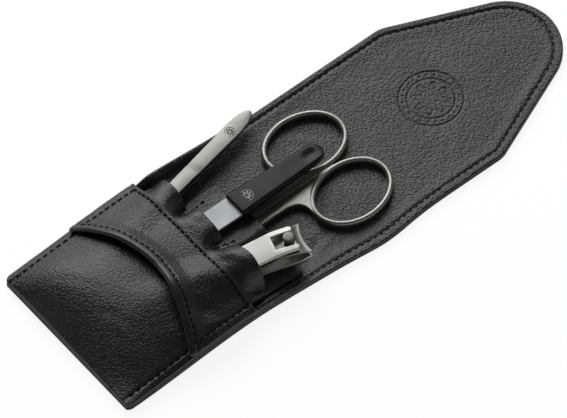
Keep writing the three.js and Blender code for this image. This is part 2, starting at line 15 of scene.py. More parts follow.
import bpy
import numpy as np
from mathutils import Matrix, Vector


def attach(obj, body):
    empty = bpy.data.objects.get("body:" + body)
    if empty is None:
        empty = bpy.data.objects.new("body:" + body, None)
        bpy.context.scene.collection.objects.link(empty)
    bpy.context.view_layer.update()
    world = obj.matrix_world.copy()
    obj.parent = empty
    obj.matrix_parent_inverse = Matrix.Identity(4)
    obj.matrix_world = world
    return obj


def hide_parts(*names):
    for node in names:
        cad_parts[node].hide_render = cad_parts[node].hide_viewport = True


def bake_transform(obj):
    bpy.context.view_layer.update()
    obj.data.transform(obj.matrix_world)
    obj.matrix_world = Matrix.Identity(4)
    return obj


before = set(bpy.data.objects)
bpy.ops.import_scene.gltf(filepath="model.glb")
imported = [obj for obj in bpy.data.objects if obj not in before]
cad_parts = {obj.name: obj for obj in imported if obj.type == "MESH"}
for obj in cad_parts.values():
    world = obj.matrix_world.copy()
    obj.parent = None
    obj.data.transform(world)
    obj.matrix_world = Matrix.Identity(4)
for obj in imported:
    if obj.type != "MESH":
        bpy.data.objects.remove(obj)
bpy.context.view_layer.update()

LOG = logging.getLogger("manicure_case")
MM = 0.001
CASE_LENGTH = 221.7
MIDDLE = CASE_LENGTH / 2

Points = np.ndarray
Faces = list[list[int]]
Shape = tuple[Points, Faces]
Swells = tuple[tuple[float, float, int], ...]
Height = Callable[[np.ndarray, np.ndarray], np.ndarray]


class Body(str, Enum):
    """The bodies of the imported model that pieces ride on."""

    POUCH = "pouch"
    FOLD = "fold"
    FLAP = "flap"
    SCISSORS = "scissors"
    SCISSORS_RIGHT = "scissors_right"
    SCISSORS_LEFT = "scissors_left"
    FILE = "file"
    TWEEZERS = "tweezers"
    TWEEZERS_ARM = "tweezers_arm"
    CLIPPER = "clipper"
    CLIPPER_JAW = "clipper_jaw"


# Numbers


def smooth_step(value: np.ndarray | float, start: float = 0.0, stop: float = 1.0) -> np.ndarray:
    """Returns 3t² − 2t³, with t the value's share of the way from start to stop, held between 0 and 1."""
    t = np.clip((value - start) / (stop - start), 0.0, 1.0)
    return t * t * (3 - 2 * t)


def mix(a: Any, b: Any, t: Any) -> Any:
    """Returns the value that lies the share t of the way from a to b."""
    return a + (b - a) * t


def hump(distance: np.ndarray, width: float) -> np.ndarray:
    """Returns a bell of height 1 and half width `width`: e to the power of −(distance / width)²."""
    return np.exp(-((distance / width) ** 2))


def spaced(breaks: Sequence[float], gaps: Sequence[float]) -> np.ndarray:
    """Returns values from the first break to the last, each stretch in even steps of about its own gap."""
    runs = [
        np.linspace(start, stop, max(round(abs(stop - start) / gap), 1) + 1)[1:]
        for start, stop, gap in zip(breaks[:-1], breaks[1:], gaps, strict=True)
    ]
    return np.concatenate([[breaks[0]], *runs])


def around(count: int) -> np.ndarray:
    """Returns that many angles, evenly round a circle."""
    return np.linspace(0, 2 * np.pi, count, endpoint=False)


def unit(vectors: Points) -> Points:
    """Returns the vectors made one long."""
    return vectors / np.maximum(np.linalg.norm(vectors, axis=-1, keepdims=True), 1e-9)


def points_at(x: Any, y: Any, z: Any) -> Points:
    """Returns points from their coordinates, each of which may be one value for a whole row or column."""
    return np.stack(np.broadcast_arrays(x, y, z), axis=-1)


def hills(x: np.ndarray, y: np.ndarray, size: float, seed: int) -> np.ndarray:
    """Smooth chance unevenness between −1 and 1.

    A square lattice of seeded heights lies `size` apart, and smooth steps join its points.

    Args:
        x: Places across, in millimetres.
        y: Places along, in millimetres.
        size: The lattice's spacing, in millimetres.
        seed: The seed of the heights.

    Returns:
        One height for each place.
    """
    count = 128
    lattice = np.random.default_rng(seed).uniform(-1, 1, (count, count))
    across, along = x / size + count / 2, y / size + count / 4
    column, row = np.floor(across).astype(int), np.floor(along).astype(int)
    u, v = smooth_step(across - column), smooth_step(along - row)
    column, row = column % (count - 1), row % (count - 1)
    near = mix(lattice[column, row], lattice[column + 1, row], u)
    far = mix(lattice[column, row + 1], lattice[column + 1, row + 1], u)
    return mix(near, far, v)


def rough(x: np.ndarray, y: np.ndarray, layers: Swells) -> np.ndarray:
    """Returns the sum of several layers of hills, each a (height, size, seed) triple."""
    return sum(height * hills(x, y, size, seed) for height, size, seed in layers)


@dataclass(frozen=True)
class CreaseLine:
    """One crease in the leather: its ends, how far it bows to the left, its half width and its depth.

    It fades over the fade share of its length at both ends. The swells beside it lie swell_place widths away,
    and are the share swell of its depth.
    """

    start: tuple[float, float]
    stop: tuple[float, float]
    bow: float
    width: float
    depth: float
    fade: float = 0.3
    swell: float = 0.55
    swell_place: float = 1.9

    def depth_at(self, x: np.ndarray, y: np.ndarray) -> np.ndarray:
        """Depth of the crease at each place.

        With d the distance across the line, in widths, and s the share along it, the depth is
        fade(s) · (hump(d) − swell · hump(d − swell_place) − swell · hump(d + swell_place)).
        """
        way = np.subtract(self.stop, self.start)
        length = float(np.hypot(*way))
        way = way / length
        dx, dy = x - self.start[0], y - self.start[1]
        share = (dx * way[0] + dy * way[1]) / length
        bow = self.bow * np.sin(np.pi * np.clip(share, 0, 1))
        across = dy * way[0] - dx * way[1] - bow
        fade = smooth_step(share / self.fade) * smooth_step((1 - share) / self.fade)
        beside = self.swell_place * self.width
        swell = hump(across - beside, self.width) + hump(across + beside, self.width)
        return self.depth * fade * (hump(across, self.width) - self.swell * swell)


def creases(x: np.ndarray, y: np.ndarray, lines: Sequence[CreaseLine]) -> np.ndarray:
    """Returns the depth of several creases together."""
    return sum(line.depth_at(x, y) for line in lines)


# Meshes


def place_mesh(name: str, points: Points, faces: Faces) -> bpy.types.Object:
    """Makes a piece from points in the makers' millimetres.

    Args:
        name: The piece's name.
        points: An array of points, N by 3.
        faces: The corners of each face, counterclockwise seen from outside.

    Returns:
        The new object, whose place is in its mesh.
    """
    flat = np.asarray(points, float).reshape(-1, 3)
    metres = (flat - (0, MIDDLE, 0)) * MM
    mesh = bpy.data.meshes.new(name)
    mesh.from_pydata(metres.tolist(), [], faces)
    mesh.validate()
    mesh.shade_smooth()
    mesh.update()
    piece = bpy.data.objects.new(name, mesh)
    bpy.context.scene.collection.objects.link(piece)
    return piece


def grid_faces(rows: int, columns: int, mask: np.ndarray | None = None) -> np.ndarray:
    """Returns the corners of each cell of a grid of points, counterclockwise seen from above."""
    index = np.arange(rows * columns).reshape(rows, columns)
    cells = np.stack([index[:-1, :-1], index[:-1, 1:], index[1:, 1:], index[1:, :-1]], axis=-1)
    return cells.reshape(-1, 4) if mask is None else cells[mask]


def closed_sheet(
    top: Points, bottom: Points, bulge: float | None = None, levels: int = 4, mask: np.ndarray | None = None,
) -> Shape:
    """A sheet between two grids of points, with a rounded wall along every free edge.

    At an edge point with middle m, half thickness h (a vector) and outward direction o, the wall runs through
    m + h cos a + o b sin a, with a from 0 on the upper side to π on the lower side and b the bulge.

    Args:
        top: Upper points, rows by columns by 3.
        bottom: Lower points, of the same shape.
        bulge: How far the wall stands out, in millimetres; half the thickness, if it is None.
        levels: How many steps the wall has.
        mask: Which cells exist; all, if it is None.

    Returns:
        The points and the faces.
    """
    rows, columns = top.shape[:2]
    count = rows * columns
    cells = grid_faces(rows, columns, mask)
    edges = np.concatenate([cells[:, [k, (k + 1) % 4]] for k in range(4)])
    keys, back = edges[:, 0] * count + edges[:, 1], edges[:, 1] * count + edges[:, 0]
    edges = edges[~np.isin(keys, back)]
    upper, lower = top.reshape(-1, 3), bottom.reshape(-1, 3)
    middle, half = (upper + lower) / 2, (upper - lower) / 2
    way = middle[edges[:, 1]] - middle[edges[:, 0]]
    outward = unit(np.cross(way, unit(half)[edges].mean(axis=1)))
    push = np.zeros((count, 3))
    np.add.at(push, edges[:, 0], outward)
    np.add.at(push, edges[:, 1], outward)
    rim = np.unique(edges)
    push = unit(push[rim])
    reach = np.linalg.norm(half[rim], axis=1, keepdims=True) if bulge is None else bulge
    turns = np.pi * np.arange(1, levels) / levels
    walls = [middle[rim] + half[rim] * math.cos(a) + push * reach * math.sin(a) for a in turns]
    used = np.unique(cells)
    points = np.concatenate([upper, lower, *walls])
    ring = np.full(count, -1)
    ring[rim] = np.arange(len(rim))
    layers = [edges, *(2 * count + k * len(rim) + ring[edges] for k in range(levels - 1)), edges + count]
    strips = [np.stack([a[:, 1], a[:, 0], b[:, 0], b[:, 1]], axis=-1) for a, b in zip(layers, layers[1:])]
    faces = np.concatenate([cells, cells[:, ::-1] + count, *strips])
    kept = np.zeros(len(points), bool)
    kept[used] = kept[used + count] = kept[2 * count:] = True
    renumber = np.cumsum(kept) - 1
    return points[kept], renumber[faces].tolist()


def plate(
    x: Any, y: Any, top: Any, bottom: Any, bulge: float, levels: int = 4, mask: np.ndarray | None = None,
) -> Shape:
    """A closed sheet over the places (x, y), between the heights of its two sides."""
    return closed_sheet(points_at(x, y, top), points_at(x, y, bottom), bulge, levels, mask)


def tube(rings: Points, endless: bool = False) -> Shape:
    """A skin over closed rings of points, each counterclockwise seen from the far end looking back.

    Args:
        rings: Ring points, rings by sides by 3.
        endless: Whether the last ring joins the first; if not, both ends are closed.

    Returns:
        The points and the faces.
    """
    count, sides = rings.shape[:2]
    ring = np.arange(count if endless else count - 1)[:, None] * sides
    side = np.arange(sides)[None, :]
    follow = (ring + sides) % (count * sides)
    onward = (side + 1) % sides
    quads = np.stack([ring + side, ring + onward, follow + onward, follow + side], axis=-1).reshape(-1, 4)
    faces = quads.tolist()
    if not endless:
        faces.append(list(range(sides))[::-1])
        faces.append([(count - 1) * sides + k for k in range(sides)])
    return rings.reshape(-1, 3), faces


def lathe(profile: Sequence[tuple[float, float]], sides: int = 48) -> Shape:
    """Turns a profile of (radius, height) pairs, from the bottom up, about the Z axis."""
    turn = around(sides)
    radius, height = np.array(profile, float).T[..., None]
    return tube(points_at(radius * np.cos(turn), radius * np.sin(turn), height))


def joined(parts: Sequence[Shape]) -> Shape:
    """Puts several meshes into one list of points and one of faces."""
    points: list[Points] = []
    faces: Faces = []
    start = 0
    for part_points, part_faces in parts:
        points.append(np.asarray(part_points, float).reshape(-1, 3))
        faces.extend([[corner + start for corner in face] for face in part_faces])
        start += len(points[-1])
    return np.concatenate(points), faces


def finished_mesh(piece: bpy.types.Object) -> None:
    """Applies the piece's modifiers, so that its mesh is final."""
    graph = bpy.context.evaluated_depsgraph_get()
    mesh = bpy.data.meshes.new_from_object(piece.evaluated_get(graph))
    old = piece.data
    piece.modifiers.clear()
    piece.data = mesh
    mesh.name = piece.name
    bpy.data.meshes.remove(old)
    mesh.shade_smooth()


def fuse(piece: bpy.types.Object, voxel: float, rounds: int) -> None:
    """Fuses a piece's crossing shells into one skin, and eases its edges.

    Args:
        piece: The piece.
        voxel: The cell of the remesh, in millimetres.
        rounds: How many rounds of smoothing follow. Each moves a point half way to its neighbours' middle.
    """
    remesh = piece.modifiers.new("fuse", "REMESH")
    remesh.mode = "VOXEL"
    remesh.voxel_size = voxel * MM
    ease = piece.modifiers.new("ease", "SMOOTH")
    ease.factor = 0.5
    ease.iterations = rounds
    finished_mesh(piece)


def picked(values: Points, places: np.ndarray) -> Points:
    """Returns the values between the rows of an N by 3 array, at places on its own numbering."""
    return np.stack([np.interp(places, np.arange(len(values)), column) for column in values.T], axis=-1)


def resample(path: Points, pitch: float) -> tuple[Points, np.ndarray]:
    """Returns points that lie `pitch` apart along a path, and their places on the path's own numbering."""
    steps = np.linalg.norm(np.diff(path, axis=0), axis=1)
    travelled = np.concatenate([[0], np.cumsum(steps)])
    count = max(int(travelled[-1] / pitch), 1)
    wanted = (np.arange(count) + 0.5) * travelled[-1] / count
    places = np.interp(wanted, travelled, np.arange(len(path)))
    points = np.stack([np.interp(wanted, travelled, path[:, k]) for k in range(3)], axis=-1)
    return points, places


@dataclass(frozen=True)
class StitchSize:
    """A sewn seam: the pitch of its stitches and one stitch's length, width and height above the leather."""

    pitch: float = 2.8
    length: float = 2.15
    width: float = 0.62
    rise: float = 0.2


def stitches(path: Points, up: Points, size: StitchSize) -> Shape:
    """A row of stitches along a path.

    A stitch is a thread of round section, w wide. At the share t from −1 to 1 along it, its section shrinks
    by the root of 1 − |t|³ and its middle lies rise · (1 − t²) − w/4 above the leather: both ends dip in.

    Args:
        path: Points on the leather, N by 3.
        up: The leather's outward direction at each of them.
        size: The seam's sizes.

    Returns:
        The points and the faces.
    """
    middles, places = resample(path, size.pitch)
    normal = unit(picked(up, places))
    way = picked(np.gradient(path, axis=0), places)
    way = unit(way - (way * normal).sum(axis=1, keepdims=True) * normal)
    side = np.cross(way, normal)
    middles, normal, way, side = (part[:, None, None, :] for part in (middles, normal, way, side))
    t = np.array([-1.0, -0.86, -0.5, 0.0, 0.5, 0.86, 1.0])
    shrink = np.sqrt(np.maximum(1 - np.abs(t) ** 3, 0.05))
    lift = size.rise * (1 - t**2) - size.width / 4
    radius = (size.width / 2 * shrink)[:, None, None]
    angle = around(6)[:, None]
    rings = (
        middles
        + way * (t * size.length / 2)[:, None, None]
        - side * (radius * np.cos(angle))
        + normal * (lift[:, None, None] + radius * np.sin(angle))
    )
    return joined([tube(ring) for ring in rings])


# Materials


def linear(hex_colour: str) -> tuple[float, float, float, float]:
    """Turns an sRGB colour such as "#2b2c2e" into linear red, green, blue and alpha."""
    parts = [int(hex_colour[k:k + 2], 16) / 255 for k in (1, 3, 5)]
    red, green, blue = (c / 12.92 if c <= 0.04045 else ((c + 0.055) / 1.055) ** 2.4 for c in parts)
    return red, green, blue, 1.0


def add_node(tree: bpy.types.NodeTree, kind: str, links: dict | None = None, **settings: Any) -> Any:
    """Adds one node.

    Args:
        tree: The material's or the world's node tree.
        kind: The node's Blender type.
        links: For each input, a socket to join to it or a value to give it. An input is a name or a number.
        settings: The node's own properties.

    Returns:
        The node.
    """
    made = tree.nodes.new(kind)
    for key, value in settings.items():
        setattr(made, key, value)
    for key, value in (links or {}).items():
        socket = made.inputs[key]
        if isinstance(value, bpy.types.NodeSocket):
            tree.links.new(value, socket)
        else:
            socket.default_value = value
    return made


class MaterialNodes:
    """One material, with a method for each kind of node that the finishes share, which returns its socket."""

    def __init__(self, name: str) -> None:
        """Makes a node material with nothing in it but its output."""
        self.material = bpy.data.materials.new(name)
        self.material.use_nodes = True
        self.tree = self.material.node_tree
        self.tree.nodes.clear()
        self.output = add_node(self.tree, "ShaderNodeOutputMaterial")

    @cached_property
    def place(self) -> Any:
        """The object's own coordinates."""
        return add_node(self.tree, "ShaderNodeTexCoord").outputs["Object"]

    def laid(self, degrees: float, across: float, along: float) -> Any:
        """The coordinates turned about Z and stretched, so that a pattern gets a direction of its own."""
        turn = (0.0, 0.0, math.radians(degrees))
        inputs = {"Vector": self.place, "Rotation": turn, "Scale": (across, along, 1.0)}
        return add_node(self.tree, "ShaderNodeMapping", inputs, vector_type="TEXTURE").outputs["Vector"]

    def noise(self, size: float, place: Any, result: str = "Fac", **values: float) -> Any:
        """A noise whose features are that many millimetres wide. Its inputs Detail and so on go by name."""
        inputs = {"Vector": place, "Scale": per_metre(size), "Detail": 2.0, **values}
        return add_node(self.tree, "ShaderNodeTexNoise", inputs).outputs[result]

    def spread(self, value: Any, given: tuple[float, float], wanted: tuple[float, float]) -> Any:
        """The value carried from the given range to the wanted one, and held at its ends."""
        ends = dict(zip(("From Min", "From Max", "To Min", "To Max"), (*given, *wanted)))
        made = add_node(self.tree, "ShaderNodeMapRange", {"Value": value, **ends})
        return made.outputs["Result"]

    def maths(self, operation: str, *values: Any) -> Any:
        """The result of an operation on numbers."""
        made = add_node(self.tree, "ShaderNodeMath", dict(enumerate(values)), operation=operation)
        return made.outputs["Value"]

    def vectors(self, operation: str, *values: Any) -> Any:
        """The result of an operation on vectors."""
        made = add_node(self.tree, "ShaderNodeVectorMath", dict(enumerate(values)), operation=operation)
        return made.outputs["Vector"]

    def ramp(self, factor: Any, low: tuple[float, str], high: tuple[float, str]) -> Any:
        """A colour between two stops, each a place on the ramp with its sRGB colour."""
        made = add_node(self.tree, "ShaderNodeValToRGB", {"Fac": factor})
        for element, (place, colour) in zip(made.color_ramp.elements, (low, high)):
            element.position, element.color = place, linear(colour)
        return made.outputs["Color"]

    def bump(self, height: Any, depth: float, strength: float = 1.0) -> Any:
        """The normals of a relief whose height is that many millimetres."""
        inputs = {"Height": height, "Strength": strength, "Distance": depth * MM}
        return add_node(self.tree, "ShaderNodeBump", inputs).outputs["Normal"]

    def finished(self, shader: Any) -> bpy.types.Material:
        """Joins a shader to the output, and returns the material."""
        self.tree.links.new(shader, self.output.inputs["Surface"])
        return self.material

    def principled(self, colour: Any, roughness: Any, normal: Any, **values: Any) -> bpy.types.Material:
        """Ends the material with a principled shader. Its other inputs go by name, with _ for a space."""
        inputs = {"Base Color": colour, "Roughness": roughness, "Normal": normal}
        inputs.update({name.replace("_", " "): value for name, value in values.items()})
        return self.finished(add_node(self.tree, "ShaderNodeBsdfPrincipled", inputs).outputs["BSDF"])


def per_metre(size: float) -> float:
    """Returns how many cells of that size in millimetres lie along a metre, which is a texture's scale."""
    return 1 / (size * MM)


@dataclass(frozen=True)
class MilledLeather:
    """Drum-dyed, dry-milled cowhide with a thin satin pigment coat.

    Milling raises small round pebbles, which fine short creases part, mostly across the case. The coat
    breaks the lamp's reflection up into a fine mottle. The dye has worn a little off the pebbles' tops, and
    the colour is painted darker in the valleys between them, as painted shade.
    Sizes are in millimetres. The real grain is finer, and would not show.
    """

    name: str = "milled_leather_black"
    deep: str = "#040405"
    high: str = "#232325"
    pebble: float = 0.75
    crease_share: float = 0.62
    turn: float = 28.0
    stretch: float = 1.35
    wander: float = 2.4
    drift: float = 0.4
    patch: float = 11.0
    dye_spot: float = 19.0
    relief: float = 0.115
    roughness: float = 0.42
    coat: float = 0.9
    coat_roughness: float = 0.33

    def material(self) -> bpy.types.Material:
        """Builds the material: wandering rows of pebbles, creases that come and go, uneven dye, painted valley
        shade.
        """
        nodes = MaterialNodes(self.name)
        lay = nodes.laid(self.turn, self.stretch, 1.0)
        wander = nodes.noise(self.wander, nodes.place, "Color")
        shift = nodes.vectors("MULTIPLY", wander, (self.drift * MM,) * 3)
        cells = add_node(nodes.tree, "ShaderNodeTexVoronoi", {
            "Vector": nodes.vectors("ADD", lay, shift), "Scale": per_metre(self.pebble), "Smoothness": 0.35,
            "Randomness": 1.0,
        }, feature="SMOOTH_F1").outputs["Distance"]
        pebbles = nodes.spread(cells, (0.05, 0.75), (1.0, 0.0))
        folds = nodes.noise(self.pebble * self.crease_share, lay, Detail=3.0, Roughness=0.6, Distortion=0.4)
        strength = nodes.spread(nodes.noise(self.patch, lay), (0.35, 0.65), (0.5, 1.3))
        surface = nodes.maths("ADD", pebbles, nodes.maths("MULTIPLY", folds, strength))
        tops = nodes.maths("MULTIPLY", pebbles, folds)
        # Lighter on the pebbles' tops and darker in their valleys: partly dye worn off the tops, partly painted
        # shade.
        dye_and_valley_shade = nodes.maths("MULTIPLY_ADD", nodes.noise(self.dye_spot, nodes.place), 0.35, tops)
        bump = nodes.bump(surface, self.relief)
        return nodes.principled(
            nodes.ramp(dye_and_valley_shade, (0.28, self.deep), (0.62, self.high)),
            nodes.spread(tops, (0.15, 0.5), (self.roughness + 0.08, self.roughness - 0.06)),
            bump, IOR=1.55, Coat_Weight=self.coat, Coat_Roughness=self.coat_roughness, Coat_IOR=1.6,
            Coat_Normal=bump,
        )


@dataclass(frozen=True)
class BrushedSteel:
    """Stainless tool steel, belt-ground along the tool and then blasted or tumbled to an even satin.

    The fine parallel scratches stretch the lights' reflections across them. `turn` is the tool's own
    direction in degrees, and `stretch` how much longer than wide a scratch is.
    """

    name: str = "satin_stainless_steel"
    colour: str = "#c4c4c1"
    shade: str = "#a6a6a3"
    roughness: float = 0.34
    scratch: float = 0.35
    stretch: float = 14.0
    turn: float = 0.0
    relief: float = 0.006
    handled_spot: float = 9.0

    def material(self) -> bpy.types.Material:
        """Builds the material. Scratches are drawn further apart than real ones, so that they show."""
        nodes = MaterialNodes(self.name)
        lay = nodes.laid(self.turn, 1.0, self.stretch)
        scratches = nodes.noise(self.scratch, lay, Detail=4.0, Roughness=0.7)
        handled = nodes.noise(self.handled_spot, nodes.place, Detail=3.0)
        return nodes.principled(
            nodes.ramp(scratches, (0.25, self.shade), (0.75, self.colour)),
            nodes.spread(handled, (0.3, 0.7), (self.roughness - 0.04, self.roughness + 0.06)),
            nodes.bump(scratches, self.relief), Metallic=1.0,
        )


@dataclass(frozen=True)
class MouldedPlastic:
    """Injection-moulded black ABS from a spark-eroded mould, which leaves a very fine even grain."""

    name: str = "moulded_plastic_black"
    colour: str = "#0b0c0d"
    worn: str = "#151617"
    grain: float = 0.28
    relief: float = 0.008
    rubbed_spot: float = 7.0
    roughness: float = 0.36

    def material(self) -> bpy.types.Material:
        """Builds the material. The mould's grain is drawn twice as wide as the real one, so that it shows."""
        nodes = MaterialNodes(self.name)
        rubbed = nodes.noise(self.rubbed_spot, nodes.place)
        return nodes.principled(
            nodes.ramp(rubbed, (0.2, self.colour), (0.9, self.worn)),
            nodes.spread(rubbed, (0.3, 0.7), (self.roughness - 0.05, self.roughness + 0.07)),
            nodes.bump(nodes.noise(self.grain, nodes.place), self.relief), IOR=1.53,
        )


@dataclass(frozen=True)
class BondedThread:
    """Black bonded nylon sewing thread, three plies twisted together, with a slight waxy shine."""

    name: str = "bonded_nylon_thread"
    colour: str = "#08080a"
    gap_colour: str = "#050506"
    ply: float = 0.4
    relief: float = 0.04
    roughness: float = 0.7

    def material(self) -> bpy.types.Material:
        """Builds the material. The plies are bands of a wave, whose scale counts whole turns."""
        nodes = MaterialNodes(self.name)
        twist = add_node(nodes.tree, "ShaderNodeTexWave", {
            "Vector": nodes.place, "Scale": per_metre(self.ply) / (2 * math.pi), "Distortion": 1.5,
        }, bands_direction="DIAGONAL").outputs["Fac"]
        # The gaps between the plies are coloured darker than the thread: painted shade.
        colour = nodes.ramp(twist, (0.1, self.gap_colour), (0.9, self.colour))
        return nodes.principled(colour, self.roughness, nodes.bump(twist, self.relief, 0.8), IOR=1.35)


class Finish(Enum):
    """The set's finishes, each made once."""

    COVER = MilledLeather()
    LINING = MilledLeather("soft_lining_leather", "#050506", "#27272a", pebble=0.8, relief=0.12)
    PANEL = MilledLeather("thin_panel_leather", "#050506", "#252527", relief=0.085)
    EDGE = MilledLeather("smooth_folded_leather", "#0c0c0d", "#222224", pebble=0.9, relief=0.03)
    SATIN = BrushedSteel()
    SPRING = BrushedSteel("satin_spring_steel", "#a4a4a1", "#959592", turn=11.8, relief=0.004)
    BRIGHT = BrushedSteel("bright_brushed_steel", "#e6e6e4", "#d8d8d6", 0.38, 0.3, turn=-16.0, relief=0.003)
    FROSTED = BrushedSteel("cross_cut_file_steel", "#e0e1e2", "#b9bbbc", 0.52, 0.32, 1.0, relief=0.04)
    # A darker copy of the bright clipper steel: painted shade on the upper arm, which lies under the lever.
    SHADED = BrushedSteel("shaded_arm_steel", "#a8a8a6", "#8c8c8a", 0.32, 0.3, turn=-16.0, relief=0.003)
    TURNED = BrushedSteel("turned_steel", "#8e8e8c", "#747472", 0.36, 0.25, 1.0, relief=0.002)
    ETCHED = BrushedSteel("etched_steel", "#5c5c5b", "#434342", 0.6, stretch=1.0)
    PLASTIC = MouldedPlastic()
    PRINT = MouldedPlastic("printed_pad_ink", "#f0f0f0", "#dadada", roughness=0.5)
    THREAD = BondedThread()

    @property
    def material(self) -> bpy.types.Material:
        """The finish's material, built the first time that it is asked for."""
        return bpy.data.materials.get(self.value.name) or self.value.material()


def dress(piece: bpy.types.Object, finish: Finish) -> bpy.types.Object:
    """Gives a piece its finish, and logs its name, its count of faces and the finish's material."""
    piece.data.materials.clear()
    piece.data.materials.append(finish.material)
    LOG.info("%s: %d faces, %s", piece.name, len(piece.data.polygons), finish.value.name)
    return piece


# The case's form


@dataclass(frozen=True)
class Loop:
    """One tool loop: how far it reaches to its left and right, its top's height, and how square it is."""

    left: float
    right: float
    top: float
    power: float


@dataclass(frozen=True)
class CaseForm:
    """Outline of the case and heights of its leather layers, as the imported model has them, in millimetres."""

    half_width: float = 35.0
    end_radius: float = 2.5
    corner_place: float = 171.5
    corner_radius: float = 10.0
    tip_radius: float = 20.6
    fold_middle: float = 146.2
    cover: float = 1.2
    lining: float = 0.9
    inner: float = 0.8
    front: float = 1.1
    layer_gap: float = 0.3
    stretch_limit: float = 1.8
    side_rise: float = 4.0
    side_rise_peak: float = 57.0
    side_rise_end: float = 104.0
    flat_share: float = 0.45
    side_rise_power: float = 1.8
    left_curl: float = 2.4
    curl_inset: float = 3.7
    curl_start: tuple[float, float] = (57.0, 66.0)
    curl_end: tuple[float, float] = (112.0, 94.0)
    right_bulge: float = 1.9
    bulge_place: float = 117.0
    bulge_reach: float = 14.0
    mouth: float = 58.0
    crown: float = 10.0
    crown_power: float = 2.8
    end_curve: float = 28.0
    end_power: float = 2.2
    end_skew: float = 0.5
    ridge_start: float = 20.0
    tweezers_ridge: tuple[float, float, float] = (0.0, 1.2, 9.0)
    clipper_ridge: tuple[float, float, float] = (3.5, 2.4, 11.5)
    strap_top: float = 58.6
    strap_arch_top: float = 40.0
    strap_arch_end: float = 29.0
    strap_arch_power: float = 1.7
    inner_half_width: float = 30.0
    inner_start: float = 14.0
    pocket_left: float = -19.5
    pocket_top: float = 84.0
    scissors_x: float = 1.0
    pocket_low: float = 5.6
    pocket_high: float = 6.5
    pocket_step: float = 8.0
    pocket_rise: float = 22.0
    pocket_flat: float = 6.3
    pocket_foot: float = 13.3
    tweezers_end: tuple[float, float, float] = (-33.0, 110.6, -11.8)
    clipper_tail: tuple[float, float, float] = (7.6, 34.6, 16.0)
    file_x: float = -3.6

    @property
    def tip_centre(self) -> float:
        """Place of the tip arc's centre."""
        return CASE_LENGTH - self.tip_radius

    @property
    def taper(self) -> float:
        """Angle between the flap's slanting sides and the case's length, in radians."""
        rise = self.tip_centre - self.corner_place
        slant = math.asin(self.tip_radius / math.hypot(self.half_width, rise))
        return math.atan2(self.half_width, rise) - slant

    @property
    def corner_start(self) -> float:
        """Place where the flap's corner arcs begin."""
        return self.corner_place - self.corner_radius * math.tan(self.taper / 2)

    def width_at(self, y: np.ndarray) -> np.ndarray:
        """Half the case's width at each place: straight sides, a corner arc, the taper and the tip's arc."""
        t = self.taper
        corner_end = self.corner_place + self.corner_radius * math.tan(t / 2) * math.cos(t)
        tip_start = self.tip_centre + self.tip_radius * math.sin(t)
        end = np.sqrt(np.maximum(self.end_radius**2 - (self.end_radius - y) ** 2, 0))
        corner = np.sqrt(np.maximum(self.corner_radius**2 - (y - self.corner_start) ** 2, 0))
        tip = np.sqrt(np.maximum(self.tip_radius**2 - (y - self.tip_centre) ** 2, 0))
        return np.select(
            [y < self.end_radius, y <= self.corner_start, y < corner_end, y < tip_start],
            [
                self.half_width - self.end_radius + end,
                np.full(np.shape(y), self.half_width),
                self.half_width - self.corner_radius + corner,
                self.half_width - (y - self.corner_place) * math.tan(t),
            ],
            tip,
        )

    def inset(self, x: np.ndarray, y: np.ndarray) -> np.ndarray:
        """Distance from the outline: the least of those to straight sides, or to an arc within its wedge."""
        t, side = self.taper, np.abs(x)
        slant = (self.half_width - (y - self.corner_place) * math.tan(t) - side) * math.cos(t)
        least = np.minimum(np.minimum(self.half_width - side, slant), y)
        across, along = side - (self.half_width - self.corner_radius), y - self.corner_start
        turn = np.arctan2(along, np.maximum(across, 1e-6))
        in_corner = (across > 0) & (turn > 0) & (turn < t)
        least = np.where(in_corner, self.corner_radius - np.hypot(across, along), least)
        in_tip = np.arctan2(y - self.tip_centre, np.maximum(side, 1e-6)) > t
        least = np.where(in_tip, self.tip_radius - np.hypot(x, y - self.tip_centre), least)
        across, along = side - (self.half_width - self.end_radius), self.end_radius - y
        in_end = (across > 0) & (along > 0)
        return np.where(in_end, self.end_radius - np.hypot(across, along), least)

    def seam(self, inset: float, start: float, stop: float, step: float = 0.5) -> Points:
        """Places (x, y) of a line at an even inset from the right-hand side's outline, from one Y to another.

        It runs up the straight side and round the corner's and the tip's arcs, each drawn in by the inset. It
        ends on the middle line or where Y passes the stop.
        """
        t = self.taper
        straight = np.arange(start, self.corner_start, step)
        turn = np.arange(0, t, step / self.corner_radius)
        radius = self.corner_radius - inset
        corner = np.stack([
            self.half_width - self.corner_radius + radius * np.cos(turn),
            self.corner_start + radius * np.sin(turn),
        ], axis=-1)
        turn = np.append(np.arange(t, np.pi / 2, step / self.tip_radius), np.pi / 2)
        radius = self.tip_radius - inset
        tip = np.stack([radius * np.cos(turn), self.tip_centre + radius * np.sin(turn)], axis=-1)
        side = np.stack([np.full(len(straight), self.half_width - inset), straight], axis=-1)
        line = np.concatenate([side, corner, tip])
        return line[line[:, 1] <= stop]

    def swayed(self, points: Points) -> Points:
        """Moves points of the back's right side out where the soft panel bulges, by a bell along Y."""
        x, y = points[..., 0], points[..., 1]
        along = hump(y - self.bulge_place, self.bulge_reach)
        return points + points_at(self.right_bulge * along * (np.maximum(x, 0) / self.half_width) ** 2, 0, 0)

    def thickened(self, under: Height, thickness: float) -> Height:
        """The upper side of a sheet of even thickness on a height function: its rise grows with the slope."""

        def over(x: np.ndarray, y: np.ndarray) -> np.ndarray:
            """Height of the upper side."""
            step = 0.05
            slope_x = (under(x + step, y) - under(x - step, y)) / (2 * step)
            slope_y = (under(x, y + step) - under(x, y - step)) / (2 * step)
            stretch = np.minimum(np.sqrt(1 + slope_x**2 + slope_y**2), self.stretch_limit)
            return under(x, y) + thickness * stretch

        return over

